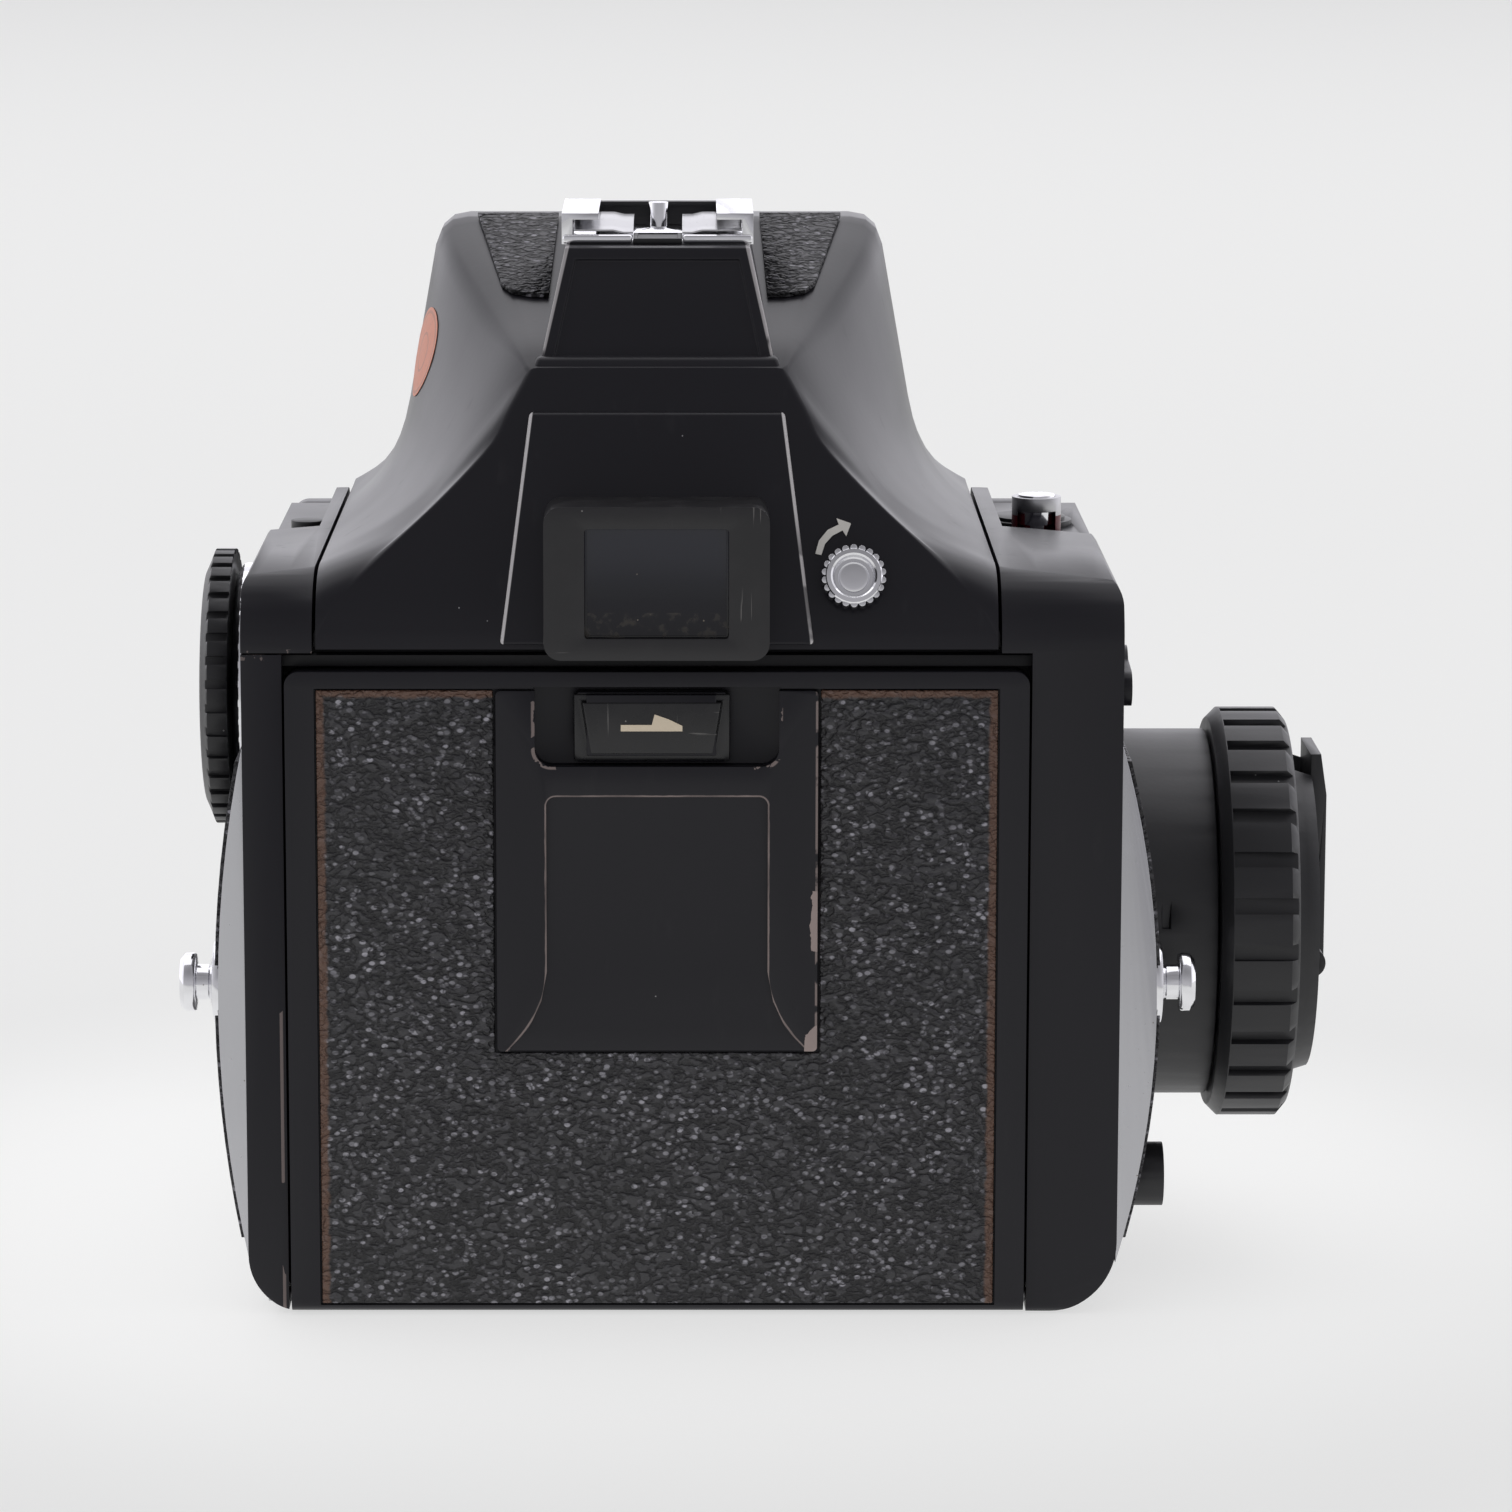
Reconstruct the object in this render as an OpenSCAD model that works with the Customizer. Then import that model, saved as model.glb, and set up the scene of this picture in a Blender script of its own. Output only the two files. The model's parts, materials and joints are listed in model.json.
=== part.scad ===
// Medium-format single lens reflex camera with a prism finder, seen by its user from behind.
// +X is the user's right, +Y is the way the lens points, +Z is up.
// The origin is the centre of the tripod socket's mouth, on the face that the camera stands on.
// All sizes are millimetres.

/* [Body] */
// Distance from the lens axis to the left side of the body
body_left = 44.9; // [44.9:0.1:46]
// Distance from the lens axis to the right side of the body
body_right = 50.4; // [50.4:0.1:52]
// Height of the shoulders beside the finder
shoulder_z = 82; // [82:0.5:83]
// Height of the lens axis above the base
axis_z = 38; // [37.5:0.1:38.5]
// Half width of the film door
door_half = 40.2; // [39.8:0.1:40.3]
// Radius of the rounded edge between the shoulders and the rear face
shoulder_r = 8; // [6:0.5:9]

/* [Winder] */
// Radius of the ribbed winding knob
knob_r = 23.4; // [22:0.1:24]
// Number of ribs on the winding knob
knob_ribs = 28; // [24:1:32]
// Teeth on the winding shaft's gear
wind_teeth = 26; // [26:1:26]
// Teeth on the take-up gear
takeup_teeth = 20; // [20:1:20]

/* [Speed dial] */
// Radius of the shutter speed dial
dial_r = 15.6; // [14.5:0.1:16]
// Number of ribs on the shutter speed dial
dial_ribs = 36; // [24:1:42]

/* [Lens] */
// Radius of the focusing ring
focus_r = 35; // [34.6:0.1:36]
// Number of ribs on the focusing ring
focus_ribs = 30; // [20:1:36]
// Travel of the optics from infinity to the nearest focus
focus_travel = 10; // [8:0.5:11]

/* [Hidden] */
$fn = 64;

// Depths along Y
rear_y = -44;            // outer face of the film door
cover_rear_y = -43.5;    // rear face of the side covers
film_y = -12.5;          // film plane
front_y = 40;            // front of the side covers
plate_y = 44;            // front of the front plate
flange_y = film_y + 63.3; // lens flange, 63.3 in front of the film
// Heights
cover_z = 0.1;           // underside of the covers
chassis_half = 40.5;     // half width of the chassis, where the side covers meet it
chassis_top = 73.6;
chassis_low = 2.6;
chassis_rear = -40.2;
deck_z = 78.5;           // top of the front decks, below the shoulders
trough_half = 37.2;      // half width of the trough that the finder sits in
finder_z = 74;           // underside of the finder
deck_y = -4;             // where the shoulders step down to the decks
// Film door and its hinge
hinge_r = 1.75;
hinge_y = rear_y + hinge_r;
hinge_z = 1.9;
pin_r = 0.75;
door_top = 71.6;
door_inner = hinge_y + hinge_r;
skin_y = rear_y + 0.7;   // seat of the leather and the memo frame
// Winder axis
wind_y = -8;
wind_z = 37.9;
// Take-up and supply spools
spool_y = -26.3;
takeup_z = 48.13;
supply_z = 21;
// Speed dial axis
dial_y = -10;
dial_z = 64.4;
dial_base_r = 14;
// Side plates
plate_mid_z = 34.4;
plate_half = 29.2;
plate_left_bulge = 3.1;
plate_right_bulge = 4.2;
plate_rear_y = -41.5;
plate_front_y = 37;
leather_t = 0.5;
lug_y = -35.5;
lug_z = 35.6;
// Finder
finder_half = 36.8;
face_tilt = 22;          // lean of the finder's rear face from upright
peak_z = 115.7;
lock_x = 21;
lock_y = -41.1;
lock_z = 82.2;
shoe_y = -22;            // rear end of the accessory shoe
shoe_len = 19;
shoe_slot = 18.7;        // width of the slot for the foot of a flash
// Latch of the door
latch_floor = rear_y + 2.6;
// Screws of the base plate
screw_x = [-35, 35];
screw_y = [-33, 37];
// Strap lugs and flash sync sockets
lug_stem = 2.8;
sync_y = [20, 29];
sync_z = 68.2;
// Levers on the right side
exposure_y = -12;
exposure_z = 66.4;
mirror_lever_y = 27;
mirror_lever_z = 68.2;
// Face of the winding knob, and its crank
knob_face = 74;
crank_x = 74;
crank_z = wind_z - 4.3;
crank_r = 1.7;
crank_floor = 72;
handle_z = 10.4;         // from the knob's axis to the folded handle's
// Buttons and their places
release_x = 43.8;
release_y = 8;
counter_y = 22;
battery_button_x = -41;
battery_button_y = 10;
front_release_x = 42;
front_release_z = 16;
lens_release_x = -39;
lens_release_z = 26;
knob_release_y = -22;
knob_release_z = 10.4;
// Hinge of the mirror
hinge_mirror_y = -3.2;
hinge_mirror_z = 63.6;
// Bore of the filter thread
filter_r = 28.5;
// Gears
gear_module = sqrt(pow(wind_y - spool_y, 2) + pow(wind_z - takeup_z, 2)) * 2 / (wind_teeth + takeup_teeth);
gear_x = 43;
gear_t = 3;
// Turn of the take-up gear that puts a gap of it where the winding gear has a tooth
mesh_line = atan2(spool_y - wind_y, wind_z - takeup_z);
mesh_offset = mesh_line - round(mesh_line * wind_teeth / 360) * 360 / wind_teeth;
takeup_phase = mesh_line + 180 + mesh_offset * wind_teeth / takeup_teeth + 180 / takeup_teeth;

// ---------- shared shapes ----------
// Extrudes an outline drawn in X and Z from y0 to y1.
module along_y(y0, y1) translate([0, y1, 0]) rotate([90, 0, 0]) linear_extrude(y1 - y0) children();
// Extrudes an outline drawn in Y and Z from x0 to x1.
module along_x(x0, x1) translate([x0, 0, 0]) rotate([90, 0, 90]) linear_extrude(x1 - x0) children();
module box(x0, x1, y0, y1, z0, z1) translate([x0, y0, z0]) cube([x1 - x0, y1 - y0, z1 - z0]);
module rod_x(x0, x1, y, z, r) translate([x0, y, z]) rotate([0, 90, 0]) cylinder(r = r, h = x1 - x0);
module rod_y(y0, y1, x, z, r) translate([x, y0, z]) rotate([-90, 0, 0]) cylinder(r = r, h = y1 - y0);
module rod_z(z0, z1, x, y, r) translate([x, y, z0]) cylinder(r = r, h = z1 - z0);
// A turned part about the lens axis, its outline drawn as [radius, y].
module turned_y(points)
    translate([0, 0, axis_z]) rotate([-90, 0, 0]) rotate_extrude($fn = 96) polygon(points);
// A turned part about an axis along X, its outline drawn as [radius, x].
module turned_x(y, z, points) translate([0, y, z]) rotate([0, 90, 0]) rotate_extrude() polygon(points);
// A rectangle with one radius at each corner, in the order low-left, low-right, high-right, high-left.
module rounded(x0, x1, z0, z1, r) {
    difference() {
        translate([x0, z0]) square([x1 - x0, z1 - z0]);
        translate([x0, z0]) corner(r[0], 0);
        translate([x1, z0]) corner(r[1], 90);
        translate([x1, z1]) corner(r[2], 180);
        translate([x0, z1]) corner(r[3], 270);
    }
}
// What a corner of radius r loses, drawn for a low-left corner and turned by a.
module corner(r, a) {
    if (r > 0)
        rotate(a) difference() {
            translate([-1, -1]) square(r + 1);
            translate([r, r]) circle(r);
        }
}
// A spur gear in the XY plane with slim teeth, so that a pair runs without touching.
module gear(teeth, thick, bore) {
    pitch_r = gear_module * teeth / 2;
    root = pitch_r - 1.1 * gear_module;
    tip = pitch_r + 0.8 * gear_module;
    half_root = 0.41 * PI * gear_module / 2;
    half_tip = 0.15 * PI * gear_module / 2;
    linear_extrude(thick) difference() {
        union() {
            circle(root);
            for (i = [0:teeth - 1])
                rotate(i * 360 / teeth)
                    polygon([[root - 0.5, -half_root * 1.2], [root - 0.5, half_root * 1.2],
                        [pitch_r, half_root], [tip, half_tip], [tip, -half_tip], [pitch_r, -half_root]]);
        }
        circle(bore);
    }
}

// ---------- body ----------
// Side view of the body: rear top edge well rounded, a shoulder, then a lower deck.
module shoulder_profile() {
    difference() {
        rounded(cover_rear_y, front_y, cover_z, shoulder_z, [1, 1, 2, shoulder_r]);
        rounded(deck_y, front_y + 5, deck_z, shoulder_z + 5, [2, 0, 0, 0]);
    }
}
// The wall beside the finder keeps the shoulder's height until its rounded front end.
module fin_profile() {
    rounded(cover_rear_y, 31, deck_z - 10, shoulder_z, [0, 0, 3, shoulder_r]);
}
// Front view of the body: rounded corners under a top that falls slightly to both sides.
module body_outline() {
    crown_r = 514;
    intersection() {
        rounded(-body_left, body_right, cover_z, shoulder_z, [6.5, 8, 3.5, 2]);
        translate([0, shoulder_z + pow(trough_half, 2) / (2 * crown_r) - crown_r])
            circle(crown_r, $fn = 720);
    }
}
// Both rear covers are cut from this solid: the front view of the body met by its side view.
module body_solid() {
    intersection() {
        along_y(cover_rear_y - 1, front_y + 1) body_outline();
        union() {
            along_x(-body_left - 1, body_right + 1) shoulder_profile();
            along_x(-trough_half - 1.5, -trough_half) fin_profile();
            along_x(trough_half, trough_half + 2) fin_profile();
        }
    }
}
module chassis() {
    color("dimgray") difference() {
        union() {
            box(-chassis_half, chassis_half, chassis_rear, front_y, chassis_low, chassis_top);
            // rail above the film door
            box(-chassis_half, chassis_half, chassis_rear - 2, chassis_rear + 1, 72, chassis_top - 0.4);
        }
        // film chamber, open to the rear
        box(-36.9, 36.9, -41, film_y + 0.1, 5.6, 69.6);
        // shutter slot
        box(-38.5, 38.5, film_y, -7.8, 8, 68.5);
        // mirror chamber, open at the front and the top, with a ledge for the screen
        box(-30.4, 30.4, -7.9, front_y + 1, 16, 75);
        box(-31.4, 31.4, -9, 38.6, 70, 75);
        // battery bay, open below
        box(-31.2, -4.8, 10.8, 25.2, 2, 15.2);
        // bore of the take-up drive, and of the end of the winding shaft
        rod_x(36, 41, spool_y, takeup_z, 2.06);
        rod_x(36, 41, wind_y, wind_z, 2.56);
        // seat of the tripod socket
        rod_z(2, 8, 0, 0, 7);
    }
}
module right_side_cover() {
    color("#1b1b1d") difference() {
        intersection() {
            body_solid();
            union() {
                box(chassis_half, 60, -50, 50, 0, 90);
                box(trough_half, 60, -50, 50, chassis_top, 90);
            }
        }
        // room for the gears
        box(door_half - 1, 48.6, -41.5, front_y - 2, 3, 72);
        // seats of the shafts, buttons and levers on the right side
        rod_x(48, 52, wind_y, wind_z, 2.56);
        rod_x(48, 52, knob_release_y, knob_release_z, 2.56);
        rod_x(48, 52, exposure_y, exposure_z, 1.56);
        rod_x(48, 52, mirror_lever_y, mirror_lever_z, 1.56);
        rod_z(71, 80, release_x, release_y, 1.56);
        rod_z(77.8, 80, release_x, counter_y, 5);
        // pocket for the hinge pin
        rod_x(chassis_half - 1, 43, hinge_y, hinge_z, pin_r);
    }
}
module left_side_cover() {
    color("#1b1b1d") difference() {
        intersection() {
            body_solid();
            box(-60, -chassis_half, -50, 50, 0, chassis_top - 0.2);
        }
        box(-43.2, -chassis_half + 1, -41.5, front_y - 2, 3, 71);
        rod_x(-46, -42, dial_y, dial_z, 3.06);
        rod_x(-43, -chassis_half + 1, hinge_y, hinge_z, pin_r);
        // holes of the flash sync sockets
        for (y = sync_y)
            rod_x(-46, -42, y, sync_z, 2.5);
    }
}
module left_top_cover() {
    color("#1d1d1f") difference() {
        intersection() {
            body_solid();
            box(-60, -trough_half, -50, 50, chassis_top, 90);
        }
        rod_z(74, 80, battery_button_x, battery_button_y, 1.06);
    }
}
module base_plate() {
    color("#222222") difference() {
        along_y(-39.5, plate_y - 1) rounded(-40.2, 40.2, 0, chassis_low, [0.8, 0.8, 0, 0]);
        rod_z(-1, 3, 0, 0, 7);
        box(-33, -3, 10.6, 25.4, -1, 3);
        for (x = screw_x)
            for (y = screw_y)
                translate([x, y, 0]) screw_seat();
    }
}
// Countersunk seat, its mouth on the underside.
module screw_seat() {
    translate([0, 0, -0.01]) cylinder(r1 = 2.26, r2 = 1.05, h = 1.21);
    cylinder(r = 1.05, h = 6);
}
module base_screws() {
    color("silver")
        for (x = screw_x)
            for (y = screw_y)
                translate([x, y, 0]) difference() {
                    union() {
                        translate([0, 0, 0.15]) cylinder(r1 = 2.1, r2 = 1.05, h = 1.05);
                        translate([0, 0, 1.2]) cylinder(r = 1.05, h = chassis_low - 1.2);
                    }
                    for (a = [0, 90])
                        rotate(a) translate([-1.2, -0.25, 0]) cube([2.4, 0.5, 0.7]);
                }
}
module tripod_socket() {
    color("silver") difference() {
        rod_z(0, 8, 0, 0, 7);
        // 1/4 inch thread, drawn at its minor radius
        rod_z(-1, 6.5, 0, 0, 2.6);
    }
}
module battery_cover() {
    color("#2a2a2a") difference() {
        box(-33, -3, 10.6, 25.4, 0.2, chassis_low);
        for (i = [0:4])
            box(-12 + 1.6 * i, -11.2 + 1.6 * i, 12.5, 23.5, 0, 0.8);
        rod_z(0, 1, -27.5, 18, 2.6);
    }
}
module battery() {
    color("silver") union() {
        rod_x(-31.2, -6.2, 18, 8.7, 6.1);
        rod_x(-6.3, -4.8, 18, 8.7, 3);
    }
}

// ---------- sides ----------
// A convex plate that follows a large circle; side is -1 for left and 1 for right.
module side_arc(side, face, bulge, grow, y0, y1, z_trim) {
    r = (pow(plate_half, 2) + pow(bulge, 2)) / (2 * bulge);
    intersection() {
        along_y(y0, y1) translate([side * (face + bulge - r), plate_mid_z]) circle(r + grow, $fn = 180);
        box(side > 0 ? face : -face - bulge - 2, side > 0 ? face + bulge + 2 : -face,
            y0, y1, plate_mid_z - plate_half + z_trim, plate_mid_z + plate_half - z_trim);
    }
}
module side_plates() {
    color("gainsboro") {
        difference() {
            side_arc(-1, body_left, plate_left_bulge, 0, plate_rear_y, plate_front_y, 0);
            rod_x(-55, -40, dial_y, dial_z, dial_base_r + 0.6);
            rod_x(-55, -40, lug_y, lug_z, lug_stem);
        }
        difference() {
            side_arc(1, body_right, plate_right_bulge, 0, plate_rear_y, plate_front_y, 0);
            rod_x(45, 60, wind_y, wind_z, 21.6);
            rod_x(45, 60, knob_release_y, knob_release_z, 3.9);
            rod_x(45, 60, lug_y, lug_z, lug_stem);
        }
    }
}
module side_leathers() {
    // chrome is left bare in front and behind
    rear_edge = plate_rear_y + 1.6;
    front_edge = plate_front_y - 1.6;
    color("#2c2c2e") {
        difference() {
            side_arc(-1, body_left, plate_left_bulge, leather_t, rear_edge, front_edge, 2.5);
            side_arc(-1, body_left, plate_left_bulge, 0, plate_rear_y, plate_front_y, 0);
            rod_x(-55, -40, dial_y, dial_z, dial_r + 0.6);
            rod_x(-55, -40, lug_y, lug_z, 5.2);
        }
        difference() {
            side_arc(1, body_right, plate_right_bulge, leather_t, rear_edge, front_edge, 2.5);
            side_arc(1, body_right, plate_right_bulge, 0, plate_rear_y, plate_front_y, 0);
            rod_x(45, 60, wind_y, wind_z, 22.4);
            rod_x(45, 60, knob_release_y, knob_release_z, 4.5);
            rod_x(45, 60, lug_y, lug_z, 5.2);
        }
    }
}
// A mushroom stud on a round base, turned about X. It stands on the side cover and comes through the plate.
module lug(face, bulge) {
    top = face + bulge;
    turned_x(lug_y, lug_z, [[0, face], [lug_stem, face], [lug_stem, top], [4.8, top], [4.5, top + 0.8],
        [3, top + 1], [1.95, top + 1.4], [1.95, top + 2.7], [3.1, top + 2.8], [3.25, top + 3.1],
        [3.2, top + 4], [2.7, top + 4.5], [0, top + 4.6]]);
}
module strap_lugs() {
    color("silver") {
        lug(body_right, plate_right_bulge);
        mirror([1, 0, 0]) lug(body_left, plate_left_bulge);
    }
}
module sync_sockets() {
    color("silver")
        for (y = sync_y) {
            turned_x(y, sync_z, [[1.6, -body_left - 2.6], [2.2, -body_left - 2.6], [2.2, -body_left - 0.7],
                [3.8, -body_left - 0.7], [3.8, -body_left], [2.5, -body_left], [2.5, -body_left + 1.5],
                [0, -body_left + 1.5], [0, -body_left + 0.6], [1.6, -body_left + 0.6]]);
            rod_x(-body_left - 1.2, -body_left + 1, y, sync_z, 0.5);
        }
}

// ---------- front ----------
module front_plate() {
    color("#1b1b1d") difference() {
        along_y(front_y, plate_y) rounded(-body_left, body_right, cover_z, deck_z, [6.5, 8, 3.5, 2]);
        rod_y(front_y - 1, plate_y + 1, 0, axis_z, 29);
        // seats of the buttons
        rod_y(front_y - 1, plate_y + 1, front_release_x, front_release_z, 2.56);
        rod_y(front_y - 1, plate_y + 1, lens_release_x, lens_release_z, 2.56);
        // clearance over the base plate
        box(-40.2, 40.2, front_y - 1, plate_y - 1, 0, chassis_low);
    }
}
// Leather on the front plate, either side of the lens mount.
module front_leathers() {
    color("#2c2c2e") difference() {
        along_y(plate_y, plate_y + leather_t) rounded(-42.5, 48, 4.5, 66, [4.5, 6, 2, 2]);
        rod_y(plate_y - 1, plate_y + 2, 0, axis_z, 35.5);
        rod_y(plate_y - 1, plate_y + 2, front_release_x, front_release_z, 5);
        rod_y(plate_y - 1, plate_y + 2, lens_release_x, lens_release_z, 4);
        box(-5, 5, plate_y - 1, plate_y + 2, 60, 70);
        box(-5, 5, plate_y - 1, plate_y + 2, 0, 8);
    }
}
module lens_mount_ring() {
    color("silver") difference() {
        turned_y([[27, plate_y - 3.2], [28.95, plate_y - 3.2], [28.95, plate_y], [34.5, plate_y],
            [34.5, plate_y + 1], [33, plate_y + 4.6], [32.4, flange_y - 0.05], [27, flange_y - 0.05]]);
        for (a = [30, 150, 270])
            rotate_about_lens(a) rod_y(flange_y - 2, flange_y + 1, 29.8, axis_z, 1);
    }
}
module rotate_about_lens(a)
    translate([0, 0, axis_z]) rotate([0, a, 0]) translate([0, 0, -axis_z]) children();
module mirror_box() {
    color("#151515") difference() {
        box(-30.4, 30.4, -7.9, front_y, 16, 70);
        box(-29.1, 29.1, -5, front_y + 1, 17.3, 71);
        gate(-9, -4);
        rod_x(-31, 31, hinge_mirror_y, hinge_mirror_z, 1.06);
    }
}
// The opening that the film sees, 56 by 41.5.
module gate(y0, y1) box(-28, 28, y0, y1, axis_z - 20.75, axis_z + 20.75);
// Focal plane shutter: a frame with its gate, a closed cloth curtain and its two rollers.
module shutter_unit() {
    rail = 34.6;
    color("#202020") {
        difference() {
            box(-38.5, 38.5, film_y + 0.1, -7.9, 8, 68.5);
            gate(-13, -7);
            box(-37.4, 37.4, -11.4, -9, 12, 64.5);
        }
        box(-rail + 1, rail - 1, -10.3, -10, 13, 63);
        for (x = [-rail, rail])
            rod_z(12, 64.5, x, -10.15, 1.1);
    }
}

// ---------- film transport ----------
module film_insert() {
    front = film_y + 0.1;
    color("#262626") difference() {
        box(-36, 36, -39, front, 5.6, 69);
        // room for the spools, between the end cheeks
        box(-33.6, 33.6, -40, -16.6, 7.6, 61.6);
        // recess of the pressure plate
        box(-31, 31, -15.6, -12, 15, 61);
        // film slots above and below the plate
        box(-31.4, 31.4, -17, -12, 62.6, 64.6);
        box(-31.4, 31.4, -17, -12, 9, 12);
        // hold for the fingers
        box(-20, 20, -40, -30, 63, 67.4);
        // room for the spools' flanges
        for (x = [-33.6, 31.6])
            for (z = [supply_z, takeup_z])
                rod_x(x, x + 2, spool_y, z, 12.5);
        // seats of the spool ends
        rod_x(33, 37, spool_y, takeup_z, 4.06);
        for (x = [-37, 33])
            rod_x(x, x + 4, spool_y, supply_z, 2.06);
        rod_x(-37, -33, spool_y, takeup_z, 2.06);
    }
}
module pressure_plate() {
    color("#303030") {
        box(-30.6, 30.6, -14, -13, 16, 60);
        // springs between the plate and the insert
        for (x = [-22, 22])
            for (z = [27, 49])
                rod_y(-15.6, -14, x, z, 3);
    }
}
module spool(z) {
    turned_x(spool_y, z, [[0, -36], [2, -36], [2, -33], [12.2, -33], [12.2, -32], [5, -32], [5, 32],
        [12.2, 32], [12.2, 33], [2, 33], [2, 33.4], [0, 33.4]]);
}
module takeup_spool() color("#3a3a3a") spool(takeup_z);
module supply_spool() {
    color("#3a3a3a") union() {
        spool(supply_z);
        rod_x(33, 36, spool_y, supply_z, 2);
    }
}
// Gear, shaft and dog that turn the take-up spool.
module takeup_gear() {
    color("goldenrod") union() {
        translate([gear_x, spool_y, takeup_z]) rotate([0, 90, 0]) rotate(takeup_phase)
            gear(takeup_teeth, gear_t, 1);
        rod_x(36.7, gear_x + gear_t + 1, spool_y, takeup_z, 2);
        rod_x(33.4, 36.8, spool_y, takeup_z, 4);
    }
}

// ---------- controls ----------
module dial_base() {
    color("silver")
        turned_x(dial_y, dial_z, [[3.2, -body_left], [dial_base_r, -body_left],
            [dial_base_r, -body_left - 2], [dial_base_r - 1.2, -body_left - 2.7], [3.2, -body_left - 2.7]]);
}
module speed_dial() {
    x0 = -47.9;
    x1 = -51.1;
    color("#232325") difference() {
        turned_x(dial_y, dial_z, [[0, x1], [dial_r - 2.4, x1], [dial_r - 1.3, x1 + 0.5],
            [dial_r, x1 + 1], [dial_r, x0], [3, x0], [3, -42], [0, -42]]);
        for (i = [0:dial_ribs - 1])
            translate([x1 - 1, dial_y, dial_z]) rotate([i * 360 / dial_ribs, 0, 0])
                translate([0, -0.5, dial_r - 0.55]) cube([6, 1, 2]);
    }
}
module battery_button() {
    color("#161616") union() {
        rod_z(deck_z + 1.1, deck_z + 2.1, battery_button_x, battery_button_y, 1.9);
        rod_z(74.8, deck_z + 1.2, battery_button_x, battery_button_y, 1);
    }
}
module frame_counter() {
    color("#101418") union() {
        rod_z(77.8, deck_z + 0.6, release_x, counter_y, 5);
        rod_z(deck_z + 0.5, deck_z + 1, release_x, counter_y, 4.2);
    }
}
// Time-exposure collar that turns round the shutter release.
module release_collar() {
    color("silver") difference() {
        rod_z(deck_z + 0.1, deck_z + 5.2, release_x, release_y, 2.85);
        rod_z(deck_z - 1, deck_z + 6, release_x, release_y, 2.2);
        // window that shows the stem
        box(41.5, 45.9, 2, 8, deck_z - 1, deck_z + 3.6);
    }
}
module top_release() {
    color("firebrick") union() {
        rod_z(deck_z + 2, deck_z + 5.4, release_x, release_y, 2.12);
        rod_z(73.6, deck_z + 2.1, release_x, release_y, 1.5);
    }
}
module front_release() {
    color("silver") union() {
        rod_y(plate_y + 2.2, plate_y + 4.2, front_release_x, front_release_z, 4);
        rod_y(front_y + 1.6, plate_y + 2.3, front_release_x, front_release_z, 2.5);
    }
}
module lens_release() {
    color("silver") union() {
        rod_y(plate_y + 1.9, plate_y + 3.4, lens_release_x, lens_release_z, 3);
        rod_y(front_y + 1.6, plate_y + 2, lens_release_x, lens_release_z, 2.5);
    }
}
// A lever that turns about X, with a round boss and a tapered arm that points at angle a from up.
module lever_x(y, z, x0, x1, boss, reach, a) {
    translate([x0, y, z]) rotate([a, 0, 0]) {
        rotate([0, 90, 0]) cylinder(r = boss, h = x1 - x0);
        translate([x1 - x0 - 1.6, -2, 0]) cube([1.6, 4, reach - 2]);
        translate([x1 - x0 - 1.6, 0, reach - 2]) rotate([0, 90, 0]) cylinder(r = 2, h = 1.6);
    }
}
module mirror_lever() {
    color("#202022") union() {
        lever_x(mirror_lever_y, mirror_lever_z, body_right + 0.3, body_right + 2.6, 4, 11, 270);
        rod_x(48.8, body_right + 0.4, mirror_lever_y, mirror_lever_z, 1.5);
    }
}
module exposure_lever() {
    color("#202022") union() {
        lever_x(exposure_y, exposure_z, body_right + 0.3, body_right + 2.6, 3, 9.5, 95);
        rod_x(48.8, body_right + 0.4, exposure_y, exposure_z, 1.5);
    }
}
module knob_release() {
    color("#121214") union() {
        rod_x(body_right + 2.6, 57, knob_release_y, knob_release_z, 3.6);
        rod_x(46, body_right + 2.7, knob_release_y, knob_release_z, 2.5);
    }
}

// ---------- winder ----------
module winder_housing() {
    wall = 1.6;
    color("#262628") difference() {
        turned_x(wind_y, wind_z, [[21.2 - wall, body_right], [21.2, body_right], [21.2, 52.6], [20.9, 53.2],
            [20.9, 62.4], [2.56, 62.4], [2.56, 60.4], [20.9 - wall, 60.4]]);
        // mark slot at the rear
        box(56.1, 57, wind_y - 22, wind_y - 20.2, wind_z + 2.2, wind_z + 7.7);
    }
}
module wind_knob() {
    color("#232325") difference() {
        union() {
            turned_x(wind_y, wind_z, [[5, 62.7], [knob_r - 1.2, 62.7], [knob_r, 63.9], [knob_r, 70.4],
                [knob_r - 1.2, 71.4], [18.6, 71.4], [17.8, knob_face], [0, knob_face], [0, 70], [5, 70]]);
            // ears that carry the crank's pin
            for (side = [-1, 1])
                rod_y(wind_y + side * 7.3 - 1.4, wind_y + side * 7.3 + 1.4, crank_x, crank_z, crank_r);
        }
        for (i = [0:knob_ribs - 1])
            translate([64, wind_y, wind_z]) rotate([i * 360 / knob_ribs, 0, 0])
                translate([0, -0.9, knob_r - 0.9]) cube([9.5, 1.8, 2]);
        // groove that the crank lies in, right across the face
        box(crank_floor, 80, wind_y - 5.85, wind_y + 5.85, wind_z - 20, wind_z + 20);
        // pocket for the folded handle
        box(65, 75, wind_y - 4.4, wind_y + 4.4, wind_z + handle_z - 4.4, wind_z + handle_z + 5.8);
        // bore of the crank's pin
        rod_y(wind_y - 9, wind_y + 9, crank_x, crank_z, 0.75);
    }
}
module wind_shaft() {
    color("silver") union() {
        rod_x(38.5, 70, wind_y, wind_z, 2.5);
        rod_x(62.8, 70, wind_y, wind_z, 4.95);
        translate([gear_x, wind_y, wind_z]) rotate([0, 90, 0]) gear(wind_teeth, gear_t, 1);
    }
}
module crank_pin() color("silver") rod_y(wind_y - 8.7, wind_y + 8.7, crank_x, crank_z, 0.75);
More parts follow.
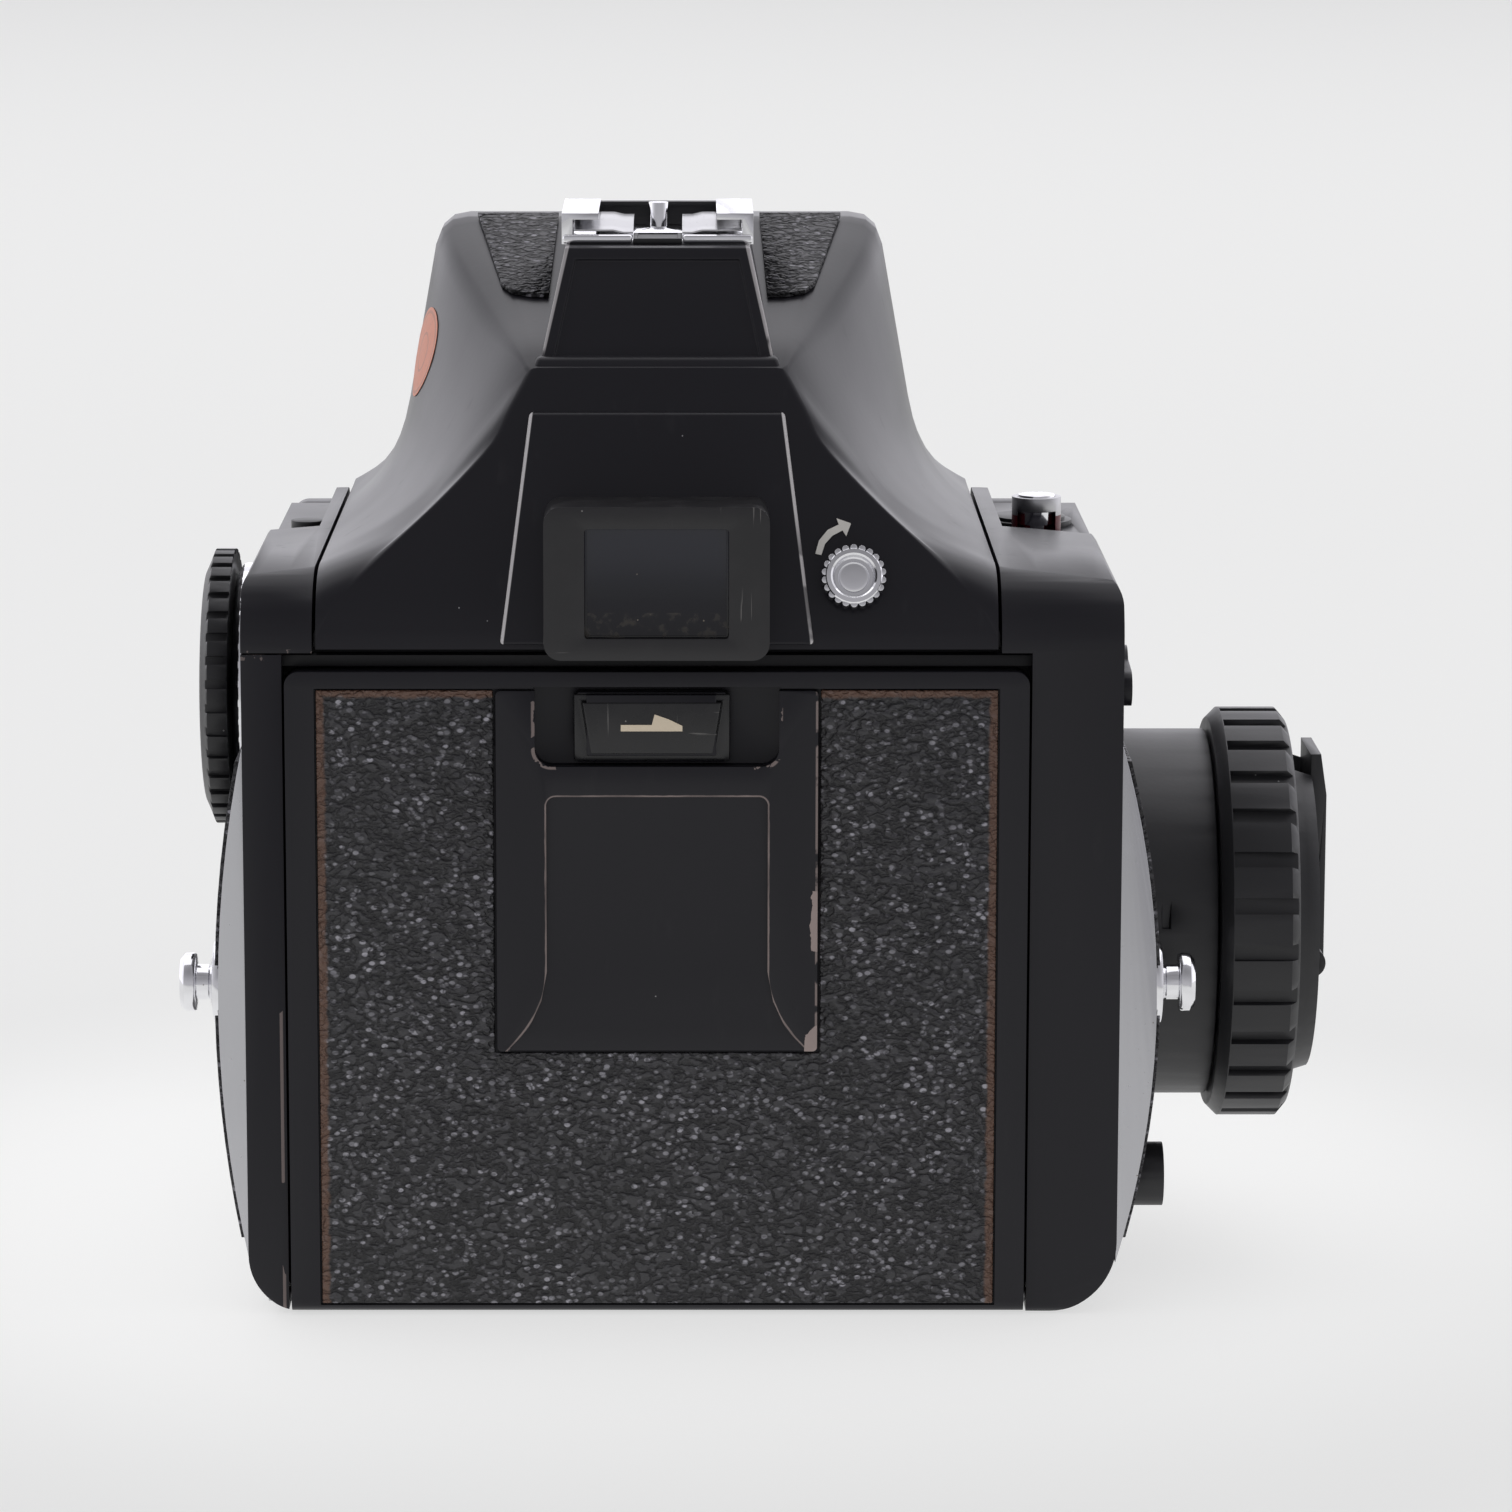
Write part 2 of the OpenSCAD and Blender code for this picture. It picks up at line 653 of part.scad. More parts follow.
module crank_arm() {
    color("#2a2a2c") difference() {
        union() {
            along_y(wind_y - 5.5, wind_y + 5.5)
                polygon([[72.6, crank_z], [75.8, crank_z], [75.8, wind_z + 14.5], [75.1, wind_z + 19.2],
                    [73.9, wind_z + 19.2], [73.9, wind_z + 15], [72.6, wind_z + 15]]);
            rod_y(wind_y - 5.5, wind_y + 5.5, crank_x, crank_z, crank_r);
        }
        // bores of the hinge pin and the handle's stem
        rod_y(wind_y - 6, wind_y + 6, crank_x, crank_z, 0.79);
        rod_x(70, 78, wind_y, wind_z + handle_z, 1.26);
        rod_x(75, 78, wind_y, wind_z + handle_z, 2);
    }
}
module crank_handle() {
    color("#1c1c1e") union() {
        rod_x(66, 72.3, wind_y, wind_z + handle_z, 3.6);
        rod_x(72.2, 75.5, wind_y, wind_z + handle_z, 1.2);
        rod_x(75.1, 75.6, wind_y, wind_z + handle_z, 1.9);
    }
}

// ---------- mirror and screen ----------
module reflex_mirror() {
    color("silver") translate([0, hinge_mirror_y, hinge_mirror_z]) rotate([-45, 0, 0]) {
        // carrier with the glass on it
        box(-28, 28, 1, 42, -1.6, -0.6);
        box(-27, 27, 2, 41.5, -0.6, 0.4);
        rod_x(-29.9, 29.9, 0, 0, 1);
        for (x = [-28, 24])
            box(x, x + 4, -0.5, 3, -1.6, -0.6);
    }
}
module focusing_screen() {
    color("lightgray") difference() {
        box(-31.4, 31.4, -9, 38.6, 70, 73.2);
        box(-28.5, 28.5, -5, 36, 69, 70.8);
    }
}

// ---------- finder ----------
// Points of the sloped upper part of the housing; mirrored left and right.
module hull_points(points, r) {
    hull()
        for (p = points)
            for (s = [-1, 1])
                translate([s * p[0], p[1], p[2]]) sphere(r, $fn = 20);
}
module finder_skirt(half, rear, front, top, low) {
    along_x(-half, half) rounded(rear, front, low, top, [0, 0, 2, shoulder_r]);
}
module finder_outer() {
    finder_skirt(finder_half, rear_y + 0.6, front_y, shoulder_z, finder_z);
    // wide foot behind and beside the tower
    hull_points([[35.4, -41.8, 75.6], [16.2, -34.6, 94.4], [14.6, -30, 95], [34.4, 30, 80], [28.4, 30, 87],
        [26, 10, 91]], 1.4);
    // tower with the sloped roof
    hull_points([[12.4, -30.6, 102.9], [22.9, 12, peak_z - 1.4], [22.9, 21, peak_z - 1.4], [28.4, 34, 87],
        [28.6, 8, 87.6], [16.2, -34.6, 94.4]], 1.4);
    // ridge under the accessory shoe
    hull_points([[11.6, -29, 103.2], [9.8, -24.6, peak_z - 1], [9.8, 10, peak_z - 1], [11.6, 6, 103.2]], 1);
}
module eyepiece_outline() rounded(-12.1, 12.1, 73.4, 90, [1.8, 1.8, 2, 2]);
module eyepiece_neck() rounded(-9.4, 9.4, 76, 88.6, [1, 1, 1, 1]);
module finder_housing() {
    color("#3a3a3d") difference() {
        finder_outer();
        // hollow inside
        finder_skirt(finder_half - 2, rear_y + 2.8, front_y - 2, shoulder_z - 2, finder_z - 1);
        hull_points([[30, -36.5, 76], [12.8, -31, 90], [12, -28, 91], [29.5, 24, 76], [25, 24, 82.5],
            [22, 9, 87]], 0.5);
        hull_points([[10, -27, 99], [20.3, 12, 110.6], [20.3, 19.5, 110.6], [23.6, 27, 82], [24.4, 10, 82],
            [12.4, -29, 89]], 0.5);
        // eyepiece opening and the seat of its frame
        along_y(-50, -30) eyepiece_neck();
        along_y(-50, -40.6) eyepiece_outline();
        // hole of the lock screw
        translate([lock_x, lock_y, lock_z]) rotate([90 - face_tilt, 0, 0])
            translate([0, 0, -8]) cylinder(r = 1.56, h = 16);
    }
}
module finder_base() {
    color("#2a2a2a") difference() {
        box(2 - finder_half, finder_half - 2, rear_y + 4, front_y - 2, finder_z + 0.1, finder_z + 1.6);
        box(-29, 29, -6, 36, 73, 77);
    }
}
module pentaprism() {
    low = finder_z + 1.6;
    color("lightblue") intersection() {
        along_x(-22, 22) polygon([[-8, low], [23, low], [23, 86], [16, 104], [-2, 100.5], [-11, 90]]);
        // roof-shaped from the front
        along_y(-12, 24) polygon([[-20, low], [20, low], [20, 80], [9, 104], [-9, 104], [-20, 80]]);
    }
}
module eyepiece() {
    color("#242426") difference() {
        union() {
            along_y(-47.6, -40.6) eyepiece_outline();
            along_y(-41, -34) eyepiece_neck();
        }
        // window in front of the glass, and the passage behind it
        along_y(-48, -46.4) rounded(-7.8, 7.8, 74.9, 87.5, [0.5, 0.5, 0.5, 0.5]);
        along_y(-45.4, -33) rounded(-7.4, 7.4, 77, 87.2, [0.5, 0.5, 0.5, 0.5]);
    }
}
module finder_leather() {
    roof_slope = atan2(peak_z - 1.4 - 102.9, 12 + 30.6);
    // two panels on the sloped roof, one on each side of the ridge
    color("#2c2c2e")
        for (s = [-1, 1])
            translate([0, 12, peak_z + 0.1]) rotate([roof_slope, 0, 0])
                linear_extrude(leather_t)
                    polygon([[s * 11.6, 0], [s * 21, 0], [s * 17.6, -23], [s * 16.4, -25.4],
                        [s * 14, -26.4], [s * 12.2, -26.4]]);
}
module accessory_shoe() {
    half = shoe_slot / 2;
    color("silver") {
        difference() {
            box(-half - 1.2, half + 1.2, shoe_y, shoe_y + shoe_len, peak_z, peak_z + 3.4);
            box(-half, half, shoe_y - 1, shoe_y + shoe_len + 1, peak_z + 0.6, peak_z + 2.7);
            box(-6.5, 6.5, shoe_y - 1, shoe_y + shoe_len + 1, peak_z + 0.5, peak_z + 4);
        }
        // stop stud at the front
        rod_z(peak_z, peak_z + 3.2, 0, shoe_y + shoe_len - 2, 1.1);
    }
}
module lock_screw() {
    beads = 22;
    color("silver") translate([lock_x, lock_y, lock_z]) rotate([90 - face_tilt, 0, 0]) {
        difference() {
            translate([0, 0, 0.7]) cylinder(r = 3.2, h = 1.7);
            translate([0, 0, 1.5]) cylinder(r = 1.9, h = 2);
        }
        translate([0, 0, -3]) cylinder(r = 1.5, h = 3.8);
        for (i = [0:beads - 1])
            rotate(i * 360 / beads) translate([3.2, 0, 0.7]) cylinder(r = 0.3, h = 1.6, $fn = 16);
    }
}

// ---------- film door ----------
module film_door() {
    color("#1e1e20") difference() {
        union() {
            along_y(rear_y, door_inner) rounded(-door_half, door_half, hinge_z, door_top, [0, 0, 1.5, 1.5]);
            rod_x(-door_half, door_half, hinge_y, hinge_z, hinge_r);
        }
        // seat of the leather and the memo frame
        along_y(rear_y - 1, skin_y) rounded(-37, 37, hinge_z - 0.8, 69.8, [0, 0, 0, 0]);
        // tray inside, round the block that holds the latch
        difference() {
            box(-38.4, 38.4, door_inner - 1.4, door_inner + 1, 6, 69.8);
            box(-15, 15, door_inner - 2, door_inner + 2, 59.6, 70);
        }
        // recess of the latch and the slot of its stem
        along_y(rear_y - 1, latch_floor) rounded(-13.3, 13.3, 61.2, 70, [2, 2, 0, 0]);
        box(-3.3, 7.3, latch_floor - 1, door_inner + 1, 66.8, 69.3);
        // hinge bore
        rod_x(-door_half - 1, door_half + 1, hinge_y, hinge_z, 0.79);
    }
}
module door_leather() {
    color("#2c2c2e") difference() {
        along_y(rear_y + 0.1, skin_y) rounded(-36.8, 36.8, hinge_z - 0.6, 69.6, [0, 0, 0, 0]);
        along_y(rear_y - 1, rear_y + 2) rounded(-17.7, 17.7, 29.5, 72, [0, 0, 0, 0]);
    }
}
module memo_frame() {
    color("#1e1e20") difference() {
        along_y(rear_y - 0.35, skin_y) rounded(-17.4, 17.4, 29.8, 69.6, [0.5, 0.5, 0.5, 0.5]);
        along_y(rear_y - 1, rear_y + 0.1) {
            rounded(-12, 12, 29, 58, [0, 0, 1, 1]);
            // the mouth flares at its lower end
            for (s = [-1, 1])
                polygon([[s * 11, 38.6], [s * 12, 38.6], [s * 12.6, 35.4], [s * 14, 32.3], [s * 16, 30.2],
                    [s * 16, 29], [s * 11, 29]]);
        }
        along_y(rear_y - 1, rear_y + 2) rounded(-13.2, 13.2, 61.3, 72, [2, 2, 0, 0]);
    }
}
module door_latch() {
    color("#1a1a1c") union() {
        box(-8.6, 7.4, rear_y + 1, latch_floor - 0.1, 61.6, 69.3);
        box(-7.6, 6.4, rear_y + 0.2, rear_y + 1.1, 62.4, 69.1);
        // stem through the door
        box(-3, 3, latch_floor - 0.2, door_inner + 0.1, 67, 69.1);
    }
}
module hinge_pin() color("silver") rod_x(-42.8, 42.8, hinge_y, hinge_z, pin_r);

// ---------- lens ----------
module lens_barrel() {
    // mount tube, flange and fixed barrel, with the sleeve that the rings turn on
    color("#1a1a1a") turned_y([[25.6, 43], [26.6, 43], [26.6, flange_y], [32.8, flange_y], [33.2, 51.4],
        [33.2, 57.6], [32.2, 58], [32.2, 86], [30.1, 86], [30.1, 57], [25.6, 57]]);
}
module ribbed_ring(points, r, ribs, y0, y1, wide, deep) {
    difference() {
        turned_y(points);
        for (i = [0:ribs - 1])
            rotate_about_lens(i * 360 / ribs)
                box(-wide / 2, wide / 2, y0, y1, axis_z + r - deep, axis_z + r + 2);
    }
}
module aperture_ring() {
    color("#222224")
        ribbed_ring([[32.3, 58.2], [34.2, 58.2], [34.6, 58.8], [34.6, 64.6], [34, 66], [32.3, 66]],
            34.6, 48, 58, 61.5, 1.4, 0.5);
}
module focus_ring() {
    color("#202022") ribbed_ring([[32.3, 66.4], [focus_r - 0.6, 66.4], [focus_r, 67], [focus_r, 86],
        [focus_r - 1, 88], [32.3, 88]], focus_r, focus_ribs, 71, 84.5, 2.6, 0.8);
}
module front_barrel() {
    color("#1a1a1a") turned_y([[20, 60], [30, 60], [30, 88.6], [32.4, 88.6], [32.4, 96.4], [31.6, 98],
        [filter_r, 98], [filter_r, 94], [24, 91], [24, 86.4], [24.8, 86.4], [24.8, 67], [20, 67]]);
}
module lens_glass() {
    color("lightblue") {
        // front element, domed
        turned_y([[0, 86.5], [24, 86.5], [24, 88], [20, 90.2], [14, 91.8], [7, 92.6], [0, 92.8]]);
        // rear element
        turned_y([[0, 62], [20, 62], [20, 65], [12, 64.4], [0, 64.2]]);
    }
}
module iris() {
    // diaphragm plate with its cell, and a six-sided opening
    color("#3a3a3c") difference() {
        turned_y([[0, 73], [24.8, 73], [24.8, 75], [0, 75]]);
        translate([0, 72, axis_z]) rotate([-90, 0, 0]) cylinder(r = 13, h = 4, $fn = 6);
    }
}

chassis();
left_side_cover();
left_top_cover();
right_side_cover();
base_plate();
base_screws();
tripod_socket();
battery_cover();
battery();
side_plates();
side_leathers();
strap_lugs();
front_plate();
front_leathers();
lens_mount_ring();
sync_sockets();
mirror_box();
shutter_unit();
film_insert();
pressure_plate();
supply_spool();
takeup_spool();
takeup_gear();
dial_base();
speed_dial();
battery_button();
frame_counter();
release_collar();
top_release();
front_release();
lens_release();
mirror_lever();
exposure_lever();
knob_release();
winder_housing();
wind_knob();
wind_shaft();
crank_pin();
crank_arm();
crank_handle();
reflex_mirror();
focusing_screen();
finder_housing();
finder_base();
pentaprism();
eyepiece();
finder_leather();
accessory_shoe();
lock_screw();
film_door();
door_leather();
memo_frame();
door_latch();
hinge_pin();
lens_barrel();
aperture_ring();
focus_ring();
front_barrel();
lens_glass();
iris();
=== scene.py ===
"""The looks of a medium format reflex camera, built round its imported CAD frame."""

import json
import math

import bpy
import bmesh
from mathutils import Matrix, Vector


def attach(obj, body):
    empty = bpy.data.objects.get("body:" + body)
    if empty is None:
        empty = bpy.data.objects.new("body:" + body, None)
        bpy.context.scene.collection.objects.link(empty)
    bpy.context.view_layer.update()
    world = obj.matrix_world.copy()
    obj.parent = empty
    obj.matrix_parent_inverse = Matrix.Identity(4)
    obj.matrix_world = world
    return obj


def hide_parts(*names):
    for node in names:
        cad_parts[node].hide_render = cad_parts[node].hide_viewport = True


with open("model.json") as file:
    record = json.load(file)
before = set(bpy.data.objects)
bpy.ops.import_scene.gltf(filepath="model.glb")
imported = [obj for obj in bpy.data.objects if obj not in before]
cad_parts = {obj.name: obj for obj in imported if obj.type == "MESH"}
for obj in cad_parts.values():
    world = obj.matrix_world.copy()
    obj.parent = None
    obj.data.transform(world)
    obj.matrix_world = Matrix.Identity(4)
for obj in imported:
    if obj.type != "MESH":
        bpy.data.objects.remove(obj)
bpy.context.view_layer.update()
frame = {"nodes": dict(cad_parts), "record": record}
MM = 0.001


# ---------- working by hand ----------
def deselect():
    if bpy.context.object and bpy.context.object.mode == "EDIT":
        bpy.ops.object.mode_set(mode="OBJECT")
    bpy.ops.object.select_all(action="DESELECT")


def hold(piece):
    deselect()
    piece.select_set(True)
    bpy.context.view_layer.objects.active = piece
    return piece


def added(name):
    piece = bpy.context.object
    piece.name = name
    piece.data.name = name
    return piece


def settle(piece):
    """Leaves the piece's place in its mesh and its object at the origin."""
    hold(piece)
    bpy.ops.object.transform_apply(location=True, rotation=True, scale=True)
    return piece


def block(name, low, high):
    """A box between two corners, in millimetres."""
    deselect()
    low, high = Vector(low) * MM, Vector(high) * MM
    bpy.ops.mesh.primitive_cube_add(size=1, location=(low + high) / 2)
    piece = added(name)
    piece.scale = high - low
    return settle(piece)


def choose(piece, kind, test):
    """In edit mode, selects the vertices, edges or faces that pass a test on their middle in millimetres."""
    bpy.ops.mesh.select_mode(type=kind)
    bpy.ops.mesh.select_all(action="DESELECT")
    mesh = bmesh.from_edit_mesh(piece.data)
    if kind == "VERT":
        for v in mesh.verts:
            v.select = bool(test(v.co / MM))
    elif kind == "EDGE":
        for e in mesh.edges:
            e.select = bool(test((e.verts[0].co + e.verts[1].co) / 2 / MM, (e.verts[1].co - e.verts[0].co) / MM))
    else:
        for f in mesh.faces:
            f.select = bool(test(f.calc_center_median() / MM, f.normal))
    mesh.select_flush_mode()
    bmesh.update_edit_mesh(piece.data)


def edit(piece):
    hold(piece)
    bpy.ops.object.mode_set(mode="EDIT")


def leave():
    bpy.ops.object.mode_set(mode="OBJECT")


def round_edges(piece, width, segments=3, angle=30):
    """Rounds the piece's sharp edges with a bevel that is applied."""
    hold(piece)
    soft = piece.modifiers.new("soft", "BEVEL")
    soft.width = width * MM
    soft.segments = segments
    soft.limit_method = "ANGLE"
    soft.angle_limit = math.radians(angle)
    soft.use_clamp_overlap = True
    bpy.ops.object.modifier_apply(modifier=soft.name)
    bpy.ops.object.shade_smooth_by_angle(angle=math.radians(32))
    return piece


def tidy_normals(piece):
    edit(piece)
    bpy.ops.mesh.select_all(action="SELECT")
    bpy.ops.mesh.remove_doubles(threshold=1e-6)
    bpy.ops.mesh.normals_make_consistent(inside=False)
    leave()
    return piece


def turned(name, centre, axis, profile, sides=96):
    """A lathe-turned piece: rings of (radius, distance along the axis), in millimetres, about a centre."""
    deselect()
    turn = Vector(axis).to_track_quat("Z", "Y")
    along = Vector(axis).normalized()
    radius, reach = profile[0]
    place = (Vector(centre) + along * reach) * MM
    bpy.ops.mesh.primitive_circle_add(vertices=sides, radius=max(radius, 0.001) * MM, location=place,
                                      rotation=turn.to_euler())
    piece = settle(added(name))
    edit(piece)
    bpy.ops.mesh.select_all(action="SELECT")
    for next_radius, next_reach in profile[1:]:
        bpy.ops.mesh.extrude_edges_move(
            TRANSFORM_OT_translate={"value": along * (next_reach - reach) * MM})
        centre_now = (Vector(centre) + along * next_reach) * MM
        k = max(next_radius, 0.001) / max(radius, 0.001)
        if abs(k - 1) > 1e-6:
            bpy.ops.transform.resize(value=(k, k, k), center_override=centre_now)
        radius, reach = max(next_radius, 0.001), next_reach
    leave()
    return tidy_normals(piece)


def copies(piece, count, centre, axis):
    """The piece and its turned copies, evenly spaced all the way round an axis."""
    made = [piece]
    for i in range(1, count):
        other = piece.copy()
        other.data = piece.data.copy()
        bpy.context.scene.collection.objects.link(other)
        c = Vector(centre) * MM
        other.data.transform(Matrix.Translation(c) @ Matrix.Rotation(2 * math.pi * i / count, 4, Vector(axis))
                             @ Matrix.Translation(-c))
        made.append(other)
    return made


def join(first, *others):
    hold(first)
    for other in others:
        other.select_set(True)
    bpy.ops.object.join()
    return first


def fit(piece, body, slot, finish, *nodes):
    """Gives a piece its finish, its body, and the CAD nodes that it stands for."""
    piece.data.materials.clear()
    piece.data.materials.append(finish)
    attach(piece, body)
    if nodes:
        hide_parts(*nodes)
    return piece


# ---------- finishes ----------
class Value:
    """A number, colour or vector in a material, that takes part in arithmetic."""

    def __init__(self, maker, socket):
        self.maker, self.socket = maker, socket

    def _math(self, operation, a, b):
        return self.maker.node("ShaderNodeMath", {"operation": operation}, {0: a, 1: b})

    def __add__(self, other): return self._math("ADD", self, other)
    def __radd__(self, other): return self._math("ADD", other, self)
    def __sub__(self, other): return self._math("SUBTRACT", self, other)
    def __rsub__(self, other): return self._math("SUBTRACT", other, self)
    def __mul__(self, other): return self._math("MULTIPLY", self, other)
    def __rmul__(self, other): return self._math("MULTIPLY", other, self)
    def __truediv__(self, other): return self._math("DIVIDE", self, other)
    def __rtruediv__(self, other): return self._math("DIVIDE", other, self)
    def __pow__(self, other): return self._math("POWER", self, other)
    def __lt__(self, other): return self._math("LESS_THAN", self, other)
    def __gt__(self, other): return self._math("GREATER_THAN", self, other)
    def __abs__(self): return self._math("ABSOLUTE", self, 0.0)


class Finish:
    """A material under construction."""

    def __init__(self, name):
        self.material = bpy.data.materials.new(name)
        self.material.use_nodes = True
        self.tree = self.material.node_tree
        self.shader = self.tree.nodes["Principled BSDF"]
        place = self.tree.nodes.new("ShaderNodeTexCoord")
        self.place = Value(self, place.outputs["Object"])
        self.x, self.y, self.z = (self.split(self.place, i) for i in range(3))

    def node(self, kind, settings=None, inputs=None, out=0):
        made = self.tree.nodes.new(kind)
        for key, value in (settings or {}).items():
            if key == "stops":
                ramp = made.color_ramp.elements
                while len(ramp) > 1:
                    ramp.remove(ramp[0])
                ramp[0].position, ramp[0].color = value[0][0], (*value[0][1], 1)
                for position, colour in value[1:]:
                    ramp.new(position).color = (*colour, 1)
            else:
                setattr(made, key, value)
        for key, value in (inputs or {}).items():
            self.feed(made.inputs[key], value)
        return Value(self, made.outputs[out])

    def feed(self, socket, value):
        if isinstance(value, Value):
            self.tree.links.new(value.socket, socket)
        elif socket.type == "RGBA" and len(value) == 3:
            socket.default_value = (*value, 1)
        else:
            socket.default_value = value

    def split(self, vector, i):
        return self.node("ShaderNodeSeparateXYZ", {}, {0: vector}, i)

    def noise(self, size, detail=2.0, where=None, rough=0.5):
        """Noise whose features are about size millimetres wide."""
        return self.node("ShaderNodeTexNoise", {}, {"Vector": where or self.place, "Scale": 1000 / size,
                                                     "Detail": detail, "Roughness": rough})

    def cells(self, size, feature="F1", out=0, where=None, spread=1.0):
        return self.node("ShaderNodeTexVoronoi", {"feature": feature},
                         {"Vector": where or self.place, "Scale": 1000 / size, "Randomness": spread}, out)

    def stretch(self, by, turn=(0, 0, 0)):
        return self.node("ShaderNodeMapping", {}, {"Vector": self.place, "Scale": by, "Rotation": turn})

    def between(self, value, low, high):
        """0 below low, 1 above high, smooth in between."""
        return self.node("ShaderNodeMapRange", {"interpolation_type": "SMOOTHSTEP"},
                         {"Value": value, "From Min": low, "From Max": high})

    def mix(self, factor, a, b):
        made = self.tree.nodes.new("ShaderNodeMix")
        made.data_type = "RGBA"
        self.feed(made.inputs["Factor"], factor)
        for socket, value in ((made.inputs[6], a), (made.inputs[7], b)):
            self.feed(socket, value)
        return Value(self, made.outputs[2])

    def bump(self, height, depth, normal=None):
        """Relief of depth millimetres."""
        inputs = {"Height": height, "Distance": depth * MM, "Strength": 1.0}
        if normal:
            inputs["Normal"] = normal
        return self.node("ShaderNodeBump", {}, inputs)

    def shade(self, **sockets):
        for name, value in sockets.items():
            self.feed(self.shader.inputs[name.replace("_", " ")], value)
        return self.material


def dust(f, amount=0.86, size=3.0, dot=0.035):
    """Sparse pale specks: 1 on a speck."""
    near = f.cells(size)
    chosen = f.split(f.cells(size, out=1), 0)
    return (near < dot) * (chosen > amount)


BARE = (0.36, 0.29, 0.27)       # brass and primer showing through the paint


def grey(level):
    """A slightly blue grey."""
    return (level, level * 0.98, level * 1.08)


def both(*masks):
    """1 where every mask is 1."""
    total = masks[0]
    for mask in masks[1:]:
        total = total * mask
    return total


def either(f, *masks):
    total = masks[0]
    for mask in masks[1:]:
        total = f.node("ShaderNodeMath", {"operation": "MAXIMUM"}, {0: total, 1: mask})
    return total


def enamel(name, colour=(0.0135, 0.013, 0.0165), gloss=0.33, wear_and_highlight=None, bare_and_highlight_colour=BARE):
    """Satin black paint with a little dust; the optional mask is painted in a pale colour: rubbed-through paint on
    some parts, painted highlights along edges on others.
    """
    f = Finish(name)
    cloud = f.noise(18, 3)
    speck = dust(f)
    rub = f.between(f.noise(2.4, 4, f.stretch((1, 1, 0.25))), 0.62, 0.8)
    paint = f.mix(speck, f.mix(rub * 0.25, colour, (0.03, 0.03, 0.033)), (0.32, 0.32, 0.33))
    rough = gloss - 0.06 + 0.12 * cloud + 0.3 * speck + 0.05 * rub
    height = f.noise(0.9, 1)
    if wear_and_highlight:
        bare_and_highlight = wear_and_highlight(f)
        paint = f.mix(bare_and_highlight, paint, bare_and_highlight_colour)
        rough = rough + 0.2 * bare_and_highlight
        height = height - 4 * bare_and_highlight
    return f.shade(Base_Color=paint, Roughness=rough, Normal=f.bump(height, 0.004), IOR=1.34)


def rounded_rim(f, side, half, end, radius, width):
    """A line of a width in metres round a mouth that has two rounded corners and is open at its far end."""
    across = f.node("ShaderNodeMath", {"operation": "MAXIMUM"}, {0: side - (half - radius), 1: 0.0})
    beyond = f.node("ShaderNodeMath", {"operation": "MAXIMUM"}, {0: end, 1: 0.0})
    reach = (across * across + beyond * beyond) ** 0.5
    return f.between(abs(reach - radius), width, width * 0.5)


def memo_wear(f):
    """The memo frame's mouth is rubbed bright along its rim, and its right edge and corner are chipped."""
    wobble = f.noise(1.6, 3) * 0.00018 - 0.00009
    side = abs(f.x) + wobble
    drop = f.node("ShaderNodeMath", {"operation": "MAXIMUM"}, {0: 0.0386 - f.z, 1: 0.0})
    mouth = rounded_rim(f, side - drop * drop * 56.7, 0.01205, f.z + wobble - 0.05705, 0.001, 0.00017)
    faint = f.between(f.noise(5, 2), 0.3, 0.6)
    edge = both(f.x > 0.01715, f.between(f.noise(2.2, 3), 0.42, 0.5))
    ragged = f.noise(1.3, 4) * 0.0012
    chip = both(f.x + ragged > 0.0173, abs(f.z + ragged - 0.0448) < 0.0033)
    corner_chip = both(f.x - f.z + ragged * 1.5 > -0.0145, f.x + ragged > 0.0166)
    recess = rounded_rim(f, side, 0.0134, 0.0632 - f.z, 0.002, 0.00025)
    lip = both(recess, f.noise(1.6, 3) > 0.5, side > 0.0105, f.y < -0.0441)
    mouth_line = both(mouth, f.y < -0.0439) * (0.3 + 0.35 * faint)
    return either(f, mouth_line, edge * 0.6, chip * 1.0, corner_chip, lip * 0.6)


def panel_painted_highlight(f):
    """Painted highlights: bright edges of the raised panel on the finder's rear face."""
    out = abs(f.x) - (0.02638 - f.z * 0.127)
    fade = either(f, f.x < 0, f.between(f.z, 0.083, 0.089), f.between(f.noise(4, 2), 0.5, 0.6))
    return both(f.between(out, -0.00042, -0.0003), 0.35 + 0.65 * fade)


def ridge_painted_highlight(f):
    """Painted highlights, in patches, along the rear corners of the ridge."""
    out = abs(f.x) - (0.03696 - f.z * 0.2325)
    patchy = f.between(f.noise(2.5, 2, f.stretch((1, 1, 0.4))), 0.35, 0.5)
    return both(f.between(out, -0.00045, -0.0003), f.y < -0.02, patchy) * 0.8


def cover_wear(f):
    """A thin rubbed line down the outer rear corner, and a scuffed lower edge of the shoulder."""
    thin = both(f.x < -0.0408, f.x > -0.04115, f.y < -0.0432, f.noise(7, 3, f.stretch((1, 1, 0.35))) > 0.55)
    scuff = both(f.noise(1.1, 4) > 0.56, abs(f.z - 0.0734) < 0.0006)
    return either(f, thin * 0.5, scuff * 0.35)


